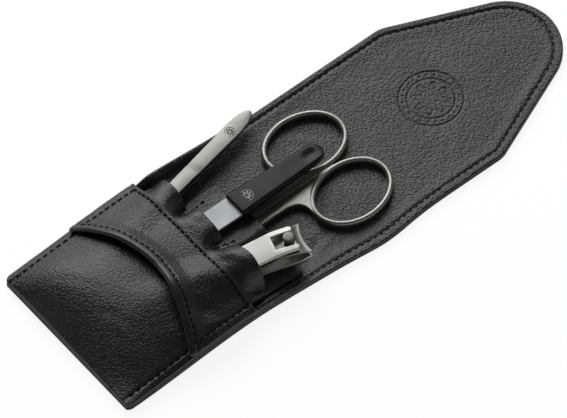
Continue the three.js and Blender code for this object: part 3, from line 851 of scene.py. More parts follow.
    def cover_under(self, x: np.ndarray, y: np.ndarray) -> np.ndarray:
        """Underside of the back cover, which rises to the side seams beside the filled pouch."""
        rising = smooth_step(y, 0, self.side_rise_peak)
        falling = smooth_step(y, self.side_rise_end, self.side_rise_peak)
        along = np.where(y < self.side_rise_peak, rising, falling)
        side = np.maximum(np.abs(x) / self.half_width - self.flat_share, 0) / (1 - self.flat_share)
        curl = self.left_curl * smooth_step(y, *self.curl_start) * smooth_step(y, *self.curl_end) * (x < 0)
        curl = curl * smooth_step(np.abs(x), self.half_width - self.curl_inset, self.half_width)
        return self.side_rise * along * side**self.side_rise_power + curl

    def cover_top(self, x: np.ndarray, y: np.ndarray) -> np.ndarray:
        """Upper side of the back cover."""
        return self.thickened(self.cover_under, self.cover)(x, y)

    def lining_under(self, x: np.ndarray, y: np.ndarray) -> np.ndarray:
        """Underside of the lining."""
        return self.cover_top(x, y) + self.layer_gap

    def lining_top(self, x: np.ndarray, y: np.ndarray) -> np.ndarray:
        """Upper side of the lining."""
        return self.thickened(self.lining_under, self.lining)(x, y)

    def pocket_under(self, x: np.ndarray, y: np.ndarray) -> np.ndarray:
        """Underside of the scissors' pocket, which arches over the blades, and higher over the screw."""
        seat = self.lining_top(x, y) + self.layer_gap
        beyond = smooth_step(y, self.mouth, self.mouth + self.pocket_step)
        crest = mix(self.pocket_low, self.pocket_high, beyond)
        along = smooth_step(y, self.inner_start, self.inner_start + self.pocket_rise)
        across = smooth_step(np.abs(x - self.scissors_x), self.pocket_foot, self.pocket_flat)
        return mix(seat, np.maximum(crest, seat), across * along)

    def pocket_top_side(self, x: np.ndarray, y: np.ndarray) -> np.ndarray:
        """Upper side of the scissors' pocket."""
        return self.thickened(self.pocket_under, self.inner)(x, y)

    def tool_line(self, tool: tuple[float, float, float], y: np.ndarray) -> np.ndarray:
        """X of a tool's axis at each place, from its end (x, y) and its turn in degrees."""
        return tool[0] + (y - tool[1]) * math.tan(math.radians(tool[2]))

    def front_under(self, x: np.ndarray, y: np.ndarray) -> np.ndarray:
        """Underside of the front panel: a crown between the side seams, with low ridges over thick tools.

        A ridge lies beside its tool's axis by the first of its three sizes, and has its height and its reach.
        """
        u = np.minimum(np.abs(x) / self.half_width, 1)
        near = np.clip(y / (self.end_curve * (1 + self.end_skew * x / self.half_width)), 0, 1)
        rise = self.crown * (1 - (1 - near) ** self.end_power)
        ridges = 0
        for tool, (shift, height, reach) in (
            (self.tweezers_end, self.tweezers_ridge), (self.clipper_tail, self.clipper_ridge),
        ):
            away = np.minimum(np.abs(x - self.tool_line(tool, y) - shift) / reach, 1)
            ridges = ridges + height * (1 + np.cos(np.pi * away)) / 2
        ridges = ridges * smooth_step(y, self.ridge_start, self.mouth)
        return self.lining_top(x, y) + self.layer_gap + rise * (1 - u**self.crown_power) + ridges

    def front_over(self, x: np.ndarray, y: np.ndarray) -> np.ndarray:
        """Upper side of the front panel."""
        return self.thickened(self.front_under, self.front)(x, y)

    def strap_low_edge(self, x: np.ndarray) -> np.ndarray:
        """Place of the strap's lower edge, an arch across the case."""
        u = np.minimum(np.abs(x) / self.half_width, 1)
        return mix(self.strap_arch_top, self.strap_arch_end, u**self.strap_arch_power)


FORM = CaseForm()


def surface_row(line: Points, height: Height, lift: float = 0.0) -> tuple[Points, Points]:
    """Lays a line of places on a height function.

    Args:
        line: Places (x, y), N by 2.
        height: The surface.
        lift: How far above the surface the line lies.

    Returns:
        The points and the surface's outward direction at each, which is (−dz/dx, −dz/dy, 1) made one long.
    """
    x, y = line.T
    step = 0.1
    slope_x = (height(x + step, y) - height(x - step, y)) / (2 * step)
    slope_y = (height(x, y + step) - height(x, y - step)) / (2 * step)
    up = unit(points_at(-slope_x, -slope_y, 1.0))
    return points_at(x, y, height(x, y)) + up * lift, up


# Leather of the back panel, the fold and the flap


@dataclass
class BackPanels:
    """The outer cover and the inner lining from the closed end to the flap's tip, and the seam round them.

    Each leather is cut at the middle of the fold, into one piece on each side of it.
    """

    form: CaseForm = FORM
    seam_inset: float = 3.0
    groove: float = 0.26
    groove_width: float = 0.55
    stitch_depth: float = 0.36
    sink: float = 0.2
    rim_rise: float = 0.22
    rim_reach: float = 1.2
    edge: float = 0.45
    blend_reach: float = 6.0
    swells: Swells = ((0.1, 17.0, 3), (0.022, 7.0, 4), (0.014, 3.2, 5))
    cover_swells: Swells = ((0.1, 15.0, 8),)
    mark_centre: tuple[float, float] = (0.0, 167.0)
    mark_radius: float = 11.7
    mark_reach: float = 13.0
    mark_depth: float = 0.29
    mark_line: float = 0.32
    petal_count: int = 8
    bead_count: int = 24
    wrinkles: tuple[CreaseLine, ...] = (
        CreaseLine((-6.0, 96.0), (8.0, 118.0), 2.0, 1.3, 0.22),
        CreaseLine((4.0, 118.0), (26.0, 100.0), -2.0, 1.6, 0.2),
        CreaseLine((-26.0, 112.0), (-8.0, 128.0), 2.0, 1.4, 0.1),
        CreaseLine((-31.0, 137.0), (-5.0, 143.0), 1.5, 1.7, 0.05),
        CreaseLine((2.0, 146.0), (30.0, 139.0), -1.5, 1.6, 0.06),
        CreaseLine((29.0, 84.0), (20.0, 104.0), 1.5, 1.5, 0.17),
        CreaseLine((12.0, 90.0), (31.0, 96.0), 1.2, 1.2, 0.13),
    )

    def relief(self, x: np.ndarray, y: np.ndarray) -> np.ndarray:
        """Unevenness of the lining: soft hills, creases, the seam's groove and the swollen rim outside it."""
        inset = self.form.inset(x, y)
        inside = smooth_step(inset, self.seam_inset + 1, self.seam_inset + 5)
        seam = self.groove * hump(inset - self.seam_inset, self.groove_width)
        rim = self.rim_rise * smooth_step(inset, self.seam_inset, self.seam_inset - self.rim_reach)
        return inside * (rough(x, y, self.swells) - creases(x, y, self.wrinkles) - self.sink) - seam + rim

    def mark(self, x: np.ndarray, y: np.ndarray) -> np.ndarray:
        """Depth of the pressed mark: two rings with beads between them, round an eight-petalled rosette."""
        dx, dy = x - self.mark_centre[0], y - self.mark_centre[1]
        radius, turn = np.hypot(dx, dy), np.arctan2(dy, dx)
        bead_ring, inner_ring, petal_tip = (share * self.mark_radius for share in (0.87, 0.74, 0.6))
        rings = hump(radius - self.mark_radius, self.mark_line) + 0.9 * hump(radius - inner_ring, 0.28)
        petal = petal_tip * np.abs(np.cos(self.petal_count / 2 * turn)) ** 0.8
        petals = hump(radius - petal, 0.34) * smooth_step(radius, 1.0, 2.5)
        beads = hump(radius - bead_ring, 0.42) * smooth_step(np.cos(self.bead_count * turn), 0.2, 0.8)
        return self.mark_depth * np.clip(rings + 0.85 * petals + 0.7 * beads, 0, 1)

    def rows(self, near: float, far: float) -> np.ndarray:
        """Places of the grid's rows, close together at its ends, on the mark and round the tip's arc."""
        form = self.form
        if far < form.corner_place:
            return spaced([near, near + 1.0, 6.0, far - 0.1, far], [0.25, 0.4, 0.95, 0.05])
        start, stop = self.mark_centre[1] - self.mark_reach, self.mark_centre[1] + self.mark_reach
        turns = np.arange(form.taper, np.radians(88.0), np.radians(2.2))
        arc = form.tip_centre + form.tip_radius * np.sin(turns)
        straight = spaced([near, near + 0.1, start, stop, arc[0]], [0.05, 0.95, 0.3, 0.8])
        return np.concatenate([straight[:-1], arc])

    def columns(self, marked: bool) -> np.ndarray:
        """Shares of the half width for the grid's columns, close together at the seams and on the mark."""
        half = self.form.half_width
        seam, mark, fine, wide = 1 - 5.0 / half, self.mark_reach / half, 0.3 / half, 0.95 / half
        middle = fine if marked else wide
        return spaced([-1.0, -seam, -mark, mark, seam, 1.0], [fine, wide, middle, wide, fine])

    def panel(self, name: str, near: float, far: float, lining: bool) -> bpy.types.Object:
        """Builds one leather between two places: a grid whose columns are shares of the half width."""
        form = self.form
        y = self.rows(near, far)[:, None]
        share = self.columns(lining and far > form.corner_place)
        x, y = np.broadcast_arrays(share * (form.width_at(y) - self.edge), y)
        if lining:
            top = form.lining_top(x, y) + self.relief(x, y) - self.mark(x, y)
            bottom = form.lining_under(x, y)
        else:
            inset = form.inset(x, y)
            soft = rough(x, y, self.cover_swells) * smooth_step(inset, 4, 8)
            groove = self.groove * hump(inset - self.seam_inset, self.groove_width)
            top, bottom = form.cover_top(x, y), form.cover_under(x, y) + np.maximum(soft, 0) + groove
        sides = (form.swayed(points_at(x, y, side)) for side in (top, bottom))
        return place_mesh(name, *closed_sheet(*sides, bulge=self.edge))

    def bend(self, piece: bpy.types.Object, first: Body, second: Body) -> None:
        """Bakes the piece's place into its mesh."""
        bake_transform(piece)

    def seam_rows(self, near: float, far: float, height: Height, facing: int) -> Shape:
        """The stitches of both edges between two places; past the flap's corner they meet at the tip.

        Args:
            near: Where the rows start.
            far: Where they end.
            height: The leather that they are sewn into.
            facing: 1 where it faces up and −1 where it faces down.

        Returns:
            The points and the faces.
        """
        right = self.form.seam(self.seam_inset, near, far)
        left = (right * (-1, 1))[::-1]
        lines = [np.concatenate([right, left[1:]])] if far > self.form.corner_place else [right, left]
        made = []
        for line in lines:
            points, up = surface_row(line, height)
            sunk = points - facing * up * self.stitch_depth
            made.append(stitches(self.form.swayed(sunk), facing * up, StitchSize()))
        return joined(made)

    def build(self) -> None:
        """Builds the leathers and their seams."""
        form = self.form
        spans = (
            ("pouch", 0.5, form.fold_middle, Body.POUCH, Body.FOLD, ("back_{}",)),
            ("flap", form.fold_middle, CASE_LENGTH, Body.FOLD, Body.FLAP, ("fold_{}", "flap_{}")),
        )
        for where, near, far, first, second, nodes in spans:
            for layer, finish, slot in (
                ("cover", Finish.COVER, "cover_leather"), ("lining", Finish.LINING, "lining_leather"),
            ):
                panel = self.panel(f"{where}_{layer}_leather", near, far, layer == "lining")
                piece = dress(panel, finish)
                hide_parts(*(node.format(layer) for node in nodes))
                self.bend(piece, first, second)
            for end, height, facing in (("", form.lining_top, 1), ("_back", form.cover_under, -1)):
                rows = self.seam_rows(near + self.seam_inset, far - 0.01, height, facing)
                thread = dress(place_mesh(f"{where}_edge_stitches{end}", *rows), Finish.THREAD)
                self.bend(thread, first, second)


# Front of the pouch


@dataclass
class FrontPanels:
    """The domed front panel and the arched strap over it, with their folded edges and seams."""

    form: CaseForm = FORM
    seam_inset: float = 3.0
    strap_thickness: float = 1.1
    strap_stand: float = 2.9
    hem: float = 2.1
    hem_rise: float = 0.14
    hem_seam: float = 2.85
    hem_droop: float = 0.9
    side_seam: tuple[float, float] = (2.6, 57.6)
    top_seam: float = 1.7
    groove: float = 0.32
    groove_width: float = 0.55
    rim_rise: float = 0.15
    rim_reach: float = 1.2
    strap_groove: float = 0.34
    strap_side_groove: float = 0.25
    strap_groove_width: float = 0.5
    swells: Swells = ((0.08, 17.0, 11), (0.018, 6.0, 12), (0.012, 2.8, 13))
    strap_swells: Swells = ((0.09, 13.0, 21), (0.025, 5.0, 22), (0.012, 2.6, 23))
    wrinkles: tuple[CreaseLine, ...] = (
        CreaseLine((-24.0, 8.0), (-4.0, 20.0), 1.5, 1.6, 0.06),
        CreaseLine((-2.0, 12.0), (20.0, 20.0), 2.0, 1.6, 0.07),
        CreaseLine((8.0, 30.0), (28.0, 22.0), -1.5, 1.4, 0.09),
        CreaseLine((-28.0, 24.0), (-14.0, 33.0), 1.0, 1.6, 0.05),
    )
    strap_wrinkles: tuple[CreaseLine, ...] = (
        CreaseLine((15.0, 43.0), (27.0, 55.0), 1.5, 2.6, 0.2),
        CreaseLine((20.0, 36.0), (31.0, 47.0), 1.2, 2.4, 0.22),
        CreaseLine((-30.0, 52.0), (-20.0, 46.0), 1.0, 2.0, 0.06),
        CreaseLine((2.0, 46.0), (8.0, 56.0), 0.8, 2.2, 0.07),
    )

    def strap_under(self, x: np.ndarray, y: np.ndarray) -> np.ndarray:
        """Underside of the strap, which stands off the front panel along its arch."""
        form = self.form
        away = y - form.strap_low_edge(x)
        u = np.minimum(np.abs(x) / form.half_width, 1)
        stand = self.strap_stand * (1 - u**4) * smooth_step(away, 9.0, 0.0)
        return form.front_over(x, y) + form.layer_gap + stand

    def strap_over(self, x: np.ndarray, y: np.ndarray) -> np.ndarray:
        """Upper side of the strap without its creases."""
        return self.form.thickened(self.strap_under, self.strap_thickness)(x, y)

    def front_relief(self, x: np.ndarray, y: np.ndarray) -> np.ndarray:
        """Unevenness of the front panel: soft hills, creases and the side seams' grooves."""
        side = self.form.half_width - np.abs(x)
        inside = smooth_step(side, self.seam_inset + 1, self.seam_inset + 6) * smooth_step(y, 2, 8)
        soft = rough(x, y, self.swells) - creases(x, y, self.wrinkles)
        seam = self.groove * hump(side - self.seam_inset, self.groove_width)
        rim = self.rim_rise * smooth_step(side, self.seam_inset, self.seam_inset - self.rim_reach)
        return inside * soft - seam + rim

    def strap_relief(self, x: np.ndarray, y: np.ndarray) -> np.ndarray:
        """Unevenness of the strap: hills, creases, and the grooves of the hem's, mouth's and side seams."""
        form = self.form
        side = form.half_width - np.abs(x)
        away, below = y - form.strap_low_edge(x), form.strap_top - y
        inside = smooth_step(side, 3, 7) * smooth_step(away - self.hem, 0, 2) * smooth_step(below, 0, 3)
        soft = rough(x, y, self.strap_swells) - creases(x, y, self.strap_wrinkles)
        hem = self.strap_groove * hump(away - self.hem_seam, self.strap_groove_width)
        mouth = self.strap_groove * hump(below - self.top_seam, self.groove_width)
        sides = self.strap_side_groove * hump(side - self.seam_inset, self.strap_groove_width)
        return inside * soft - (hem + mouth) - sides

    def front_panel(self) -> bpy.types.Object:
        """Builds the front panel, from the closed end to the pouch's mouth."""
        form, edge = self.form, 0.45
        y = spaced([edge, 4.0, form.mouth - edge], [0.25, 0.55])[:, None]
        share = spaced([-1, -0.84, 0.84, 1], [0.009, 0.0165, 0.009])
        x, y = np.broadcast_arrays(share * (form.width_at(y) - edge), y)
        top = form.front_over(x, y) + self.front_relief(x, y)
        return place_mesh("pouch_front_leather", *plate(x, y, top, form.front_under(x, y), edge))

    def strap(self) -> bpy.types.Object:
        """Builds the strap, whose rows run from the arch to its straight upper edge."""
        form, edge = self.form, 0.5
        x = spaced([-1, -0.84, 0.84, 1], [0.009, 0.0155, 0.009]) * (form.half_width - edge)
        low, high = form.strap_low_edge(x) + edge, form.strap_top - edge
        share = spaced([0.0, 0.17, 0.85, 1.0], [0.012, 0.024, 0.014])[:, None]
        x, y = np.broadcast_arrays(x, low + share * (high - low))
        top = self.strap_over(x, y) + self.strap_relief(x, y)
        return place_mesh("closing_strap_leather", *plate(x, y, top, self.strap_under(x, y), edge, 6))

    def hem_band(self) -> bpy.types.Object:
        """Builds the smooth leather that is folded round the strap's arched edge.

        At the share s from −1 to 1 across it, its top stands hem_rise · (1 − s⁴) above the strap, and its
        underside as far below. Where s is under −0.55 the top droops by hem_droop · (−s − 0.55)².
        """
        form = self.form
        s = np.linspace(-1, 1, 13)[:, None]
        x = np.linspace(-form.half_width + 1.0, form.half_width - 1.0, 260)
        x, y = np.broadcast_arrays(x, form.strap_low_edge(x) + self.hem / 2 - 0.15 + (self.hem / 2 + 0.1) * s)
        held = np.maximum(y, form.strap_low_edge(x) + 0.3)
        swell = self.hem_rise * (1 - s**4)
        droop = self.hem_droop * np.maximum(-s - 0.55, 0) ** 2
        top, bottom = self.strap_over(x, held) + swell - droop, self.strap_under(x, held) - swell
        return place_mesh("strap_hem_band", *plate(x, y, top, bottom, 0.55, 7))

    def strap_seams(self) -> Shape:
        """The stitches inside the arch's hem, and those below the strap's upper edge."""
        form = self.form
        x = np.linspace(-form.half_width + 2.2, form.half_width - 2.2, 240)
        size = StitchSize(pitch=2.5, length=1.95, width=0.7, rise=0.24)
        rows = []
        for y in (form.strap_low_edge(x) + self.hem_seam, np.full(len(x), form.strap_top - self.top_seam)):
            rows.append(stitches(*surface_row(np.column_stack([x, y]), self.strap_over, -0.14), size))
        return joined(rows)

    def side_seams(self) -> Shape:
        """The stitches of the side seams, on the front panel below the strap and on the strap above."""
        form = self.form
        rows = []
        for sign in (-1, 1):
            x = sign * (form.half_width - self.seam_inset)
            turn = float(form.strap_low_edge(np.array(x)))
            start, stop = self.side_seam
            spans = ((start, turn - 0.6, form.front_over), (turn + 0.8, stop, self.strap_over))
            for near, far, height in spans:
                y = np.arange(near, far, 0.4)
                line = np.column_stack([np.full(len(y), x), y])
                rows.append(stitches(*surface_row(line, height, -0.1), StitchSize()))
        return joined(rows)

    def build(self) -> None:
        """Builds the front's pieces, all of which ride on the pouch."""
        front = dress(self.front_panel(), Finish.COVER)
        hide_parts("front_panel")
        strap = dress(self.strap(), Finish.COVER)
        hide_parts("closing_strap")
        hem = dress(self.hem_band(), Finish.EDGE)
        seams = dress(place_mesh("strap_stitches", *self.strap_seams()), Finish.THREAD)
        sides = dress(place_mesh("side_seam_stitches", *self.side_seams()), Finish.THREAD)
        for piece in (front, strap, hem, seams, sides):
            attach(piece, Body.POUCH.value)


# Inner panels of the pouch


@dataclass
class InnerPanels:
    """The scissors' pocket and the panel that is sewn down in two seams to stand up in three tool loops."""

    form: CaseForm = FORM
    mouth: float = 68.0
    merge_start: float = 58.4
    merge_end: float = 66.0
    start: float = 40.0
    columns: int = 340
    easing_rounds: int = 10
    seam_start: float = 59.7
    seam_lines: tuple[tuple[float, float], ...] = ((-14.7, -0.093), (4.4, 0.11))
    seam_spans: tuple[tuple[float, float], ...] = ((59.4, 75.8), (59.4, 72.0))
    knot_rise: float = 0.12
    edge_bow: float = 1.2
    edge_bow_place: float = 19.0
    edge_bow_width: float = 7.0
    edge_drawn: float = 3.0
    edge_drawn_place: tuple[float, float] = (26.0, 31.0)
    tweezers: Loop = Loop(6.8, 6.8, 10.1, 2.7)
    nail_file: Loop = Loop(10.4, 7.0, 12.6, 4.0)
    clipper: Loop = Loop(9.8, 10.6, 15.3, 2.8)
    loop_swells: Swells = ((0.09, 5.0, 31), (0.03, 2.4, 32))
    pocket_swells: Swells = ((0.1, 6.0, 41), (0.05, 2.6, 42))
    wrinkles: tuple[CreaseLine, ...] = (
        CreaseLine((11.0, 59.5), (23.0, 65.5), 1.2, 1.3, 0.16),
        CreaseLine((-12.0, 61.0), (-3.0, 65.0), 0.8, 1.2, 0.12),
    )

    def arch(self, x: np.ndarray, centre: np.ndarray, loop: Loop, seat: np.ndarray) -> np.ndarray:
        """A loop's height over its seat: 1 − tⁿ of the way up, with t the share of its reach to that side."""
        away = x - centre
        t = np.minimum(np.where(away < 0, -away / loop.left, away / loop.right), 1)
        return mix(seat, loop.top, 1 - t**loop.power)

    def loops_under(self, x: np.ndarray, y: np.ndarray) -> np.ndarray:
        """Underside of the loops: below the front panel inside the pouch, and three arches outside it."""
        form = self.form
        seat = form.pocket_top_side(x, y) + form.layer_gap
        rise = form.thickened(form.front_under, form.inner)(x, y) - form.front_under(x, y)
        hidden = form.front_under(x, y) - form.layer_gap - rise
        merge = smooth_step(y, self.merge_start, self.merge_end)
        arches = (
            self.arch(x, form.tool_line(form.tweezers_end, y), self.tweezers, seat),
            self.arch(x, np.full(np.shape(y), form.file_x), self.nail_file, seat),
            self.arch(x, form.tool_line(form.clipper_tail, y), self.clipper, seat),
        )
        return np.maximum(mix(hidden, np.maximum.reduce(arches), merge), seat)

    def seam_place(self, number: int, y: np.ndarray) -> np.ndarray:
        """X of the first or second seam between the loops at each place, from its start's X and its slope."""
        start, slope = self.seam_lines[number]
        return start + (y - self.seam_start) * slope

    def mouth_edge(self, x: np.ndarray) -> np.ndarray:
        """Place of the loops' edge, which bows out over the clipper and is drawn back at its outer side."""
        bow = self.edge_bow * hump(x - self.edge_bow_place, self.edge_bow_width)
        return self.mouth + bow - self.edge_drawn * smooth_step(x, *self.edge_drawn_place)

    def loops_panel(self) -> bpy.types.Object:
        """Builds the loops from rows of points that lie evenly along each row's own length."""
        start = self.start
        share = spaced([0.0, 0.62, 0.97, 1.0], [0.05, 0.022, 0.01])[:, None]
        dense = np.linspace(-self.form.inner_half_width, self.form.inner_half_width, 2400)
        dense, place = np.broadcast_arrays(dense, start + share * (self.mouth_edge(dense) - start))
        height = self.loops_under(dense, place)
        across, up = (np.diff(values, prepend=values[:, :1]) for values in (dense, height))
        travelled = np.cumsum(np.hypot(across, up), axis=1)
        wanted = np.linspace(0, 1, self.columns)
        x = np.stack([np.interp(wanted * t[-1], t, d) for t, d in zip(travelled, dense)])
        y = start + share * (self.mouth_edge(x) - start)
        under = points_at(x, y, self.loops_under(x, y))
        for _ in range(self.easing_rounds):
            under[:, 1:-1, 2] = 0.25 * under[:, :-2, 2] + 0.5 * under[:, 1:-1, 2] + 0.25 * under[:, 2:, 2]
        normal = unit(np.cross(np.gradient(under, axis=1), np.gradient(under, axis=0)))
        relief = rough(x, y, self.loop_swells) - creases(x, y, self.wrinkles)
        over = under + normal * (self.form.inner + relief * smooth_step(y, 56, 60))[..., None]
        return place_mesh("tool_loops_leather", *closed_sheet(over, under, levels=5))

    def seam_floor(self, x: np.ndarray, y: np.ndarray) -> np.ndarray:
        """Height that the seams lie on: the loops' leather as far as its mouth, and then the pocket's."""
        sewn = self.loops_under(x, y) + self.form.inner
        return mix(sewn, self.form.pocket_top_side(x, y), smooth_step(y, self.mouth - 0.4, self.mouth + 0.4))

    def loop_seams(self) -> Shape:
        """The stitches of the two seams between the loops, each ending in a few stitches on one spot."""
        rows = []
        for number, (near, far) in enumerate(self.seam_spans):
            y = np.arange(near, far, 0.3)
            line = np.column_stack([self.seam_place(number, y), y])
            points, up = surface_row(line, self.seam_floor, 0.05)
            rows.append(stitches(points, up, StitchSize(pitch=2.0, length=1.7, width=0.6)))
            knot = points[-4:] + up[-4:] * self.knot_rise
            rows.append(stitches(knot, up[-4:], StitchSize(pitch=0.9, length=1.4, width=0.95, rise=0.35)))
        return joined(rows)

    def pocket(self) -> bpy.types.Object:
        """Builds the scissors' pocket, which lies on the lining and arches over the scissors."""
        form, edge = self.form, 0.35
        x = spaced([form.pocket_left + edge, -12.0, 14.0, form.inner_half_width - edge], [0.8, 0.5, 0.8])
        y = spaced([form.inner_start + edge, 50.0, form.pocket_top - edge], [2.0, 0.5])[:, None]
        x, y = np.broadcast_arrays(x, y)
        top = form.pocket_top_side(x, y) + rough(x, y, self.pocket_swells) * smooth_step(y, 62, 67)
        return place_mesh("scissors_pocket_leather", *plate(x, y, top, form.pocket_under(x, y), edge))

    def build(self) -> None:
        """Builds the inner panels, which ride on the pouch."""
        loops = dress(self.loops_panel(), Finish.PANEL)
        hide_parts("tool_loops_panel")
        pocket = dress(self.pocket(), Finish.PANEL)
        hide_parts("scissors_pocket_panel")
        seams = dress(place_mesh("tool_loops_stitches", *self.loop_seams()), Finish.THREAD)
        for piece in (loops, pocket, seams):
            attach(piece, Body.POUCH.value)


# Tools


@dataclass(frozen=True)
class ToolPlace:
    """Where a tool lies: its origin, its turn about Z and its tilt about its own X, in degrees."""

    origin: tuple[float, float, float]
    turn: float = 0.0
    tilt: float = 0.0

    def to_case(self, points: Points) -> Points:
        """Returns the tool's own points in the case: tilted about X, then turned about Z, then moved."""
        tilt, turn = math.radians(self.tilt), math.radians(self.turn)
        about_x = np.array([
            [1, 0, 0],
            [0, math.cos(tilt), -math.sin(tilt)],
            [0, math.sin(tilt), math.cos(tilt)],
        ])
        about_z = np.array([
            [math.cos(turn), -math.sin(turn), 0],
            [math.sin(turn), math.cos(turn), 0],
            [0, 0, 1],
        ])
        return np.asarray(points, float).reshape(-1, 3) @ (about_z @ about_x).T + self.origin

    def add(self, name: str, shape: Shape, nodes: Sequence[str] = ()) -> bpy.types.Object:
        """Makes a piece of the tool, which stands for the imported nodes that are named."""
        points, faces = shape
        piece = place_mesh(name, self.to_case(points), faces)
        if nodes:
            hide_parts(*nodes)
        return piece


def finish_tool(piece: bpy.types.Object, finish: Finish, body: Body) -> None:
    """Dresses a tool's piece and hangs it on its body."""
    dress(piece, finish)
    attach(piece, body.value)


def prism(outline: Points, low: float, high: float) -> Shape:
    """A plate with straight walls between two heights, over an outline that runs counterclockwise."""
    flat = np.asarray(outline, float)
    levels = [np.column_stack([flat, np.full(len(flat), height)]) for height in (low, high)]
    return tube(np.stack(levels))


def bent(profile: Sequence[tuple[float, float]], place: np.ndarray, ease: float) -> np.ndarray:
    """Height of a bent plate's side view: the joined points' mean height from `ease` before to after."""
    places, heights = np.array(profile, float).T
    shifts = np.linspace(-ease, ease, 9)
    return np.mean([np.interp(place + shift, places, heights) for shift in shifts], axis=0)


def round_hole(
    x: np.ndarray, y: np.ndarray, kept: np.ndarray, centre: tuple[float, float], radius: float,
) -> tuple[np.ndarray, np.ndarray, np.ndarray]:
    """Cuts a round hole into a grid: the cells inside it go, and the points round them move onto its rim.

    Args:
        x: Places across, rows by columns.
        y: Places along.
        kept: Which cells exist so far.
        centre: The hole's middle.
        radius: Its radius.

    Returns:
        The moved places across and along, and which cells are left.
    """
    dx, dy = x - centre[0], y - centre[1]
    away = np.hypot(dx, dy)
    middle = (away[:-1, :-1] + away[1:, :-1] + away[:-1, 1:] + away[1:, 1:]) / 4
    outside = middle > radius
    touched = {True: np.zeros(x.shape, bool), False: np.zeros(x.shape, bool)}
    for rows in (slice(None, -1), slice(1, None)):
        for columns in (slice(None, -1), slice(1, None)):
            touched[True][rows, columns] |= outside
            touched[False][rows, columns] |= ~outside
    scale = np.where(touched[True] & touched[False], radius / np.maximum(away, 1e-6), 1.0)
    return centre[0] + dx * scale, centre[1] + dy * scale, kept & outside


def rosette(centre: tuple[float, float], radius: float, low: float, high: float) -> Shape:
    """A plain generic motif: a thin ring round eight petals, each an ellipse along its own radius."""
    turn, rim = around(48)[:, None], radius * np.array([0.93, 1.0, 1.0, 0.93])
    ring = points_at(rim * np.cos(turn), rim * np.sin(turn), (low, low, high, high))
    parts = [tube(ring[:, ::-1], endless=True)]
    turn = around(14)
    petal = radius * np.column_stack([0.5 + 0.3 * np.cos(turn), 0.115 * np.sin(turn)])
    for angle in around(8):
        spin = np.array([[math.cos(angle), math.sin(angle)], [-math.sin(angle), math.cos(angle)]])
        parts.append(prism(petal @ spin, low, high))
    points, faces = joined(parts)
    return points + (*centre, 0.0), faces


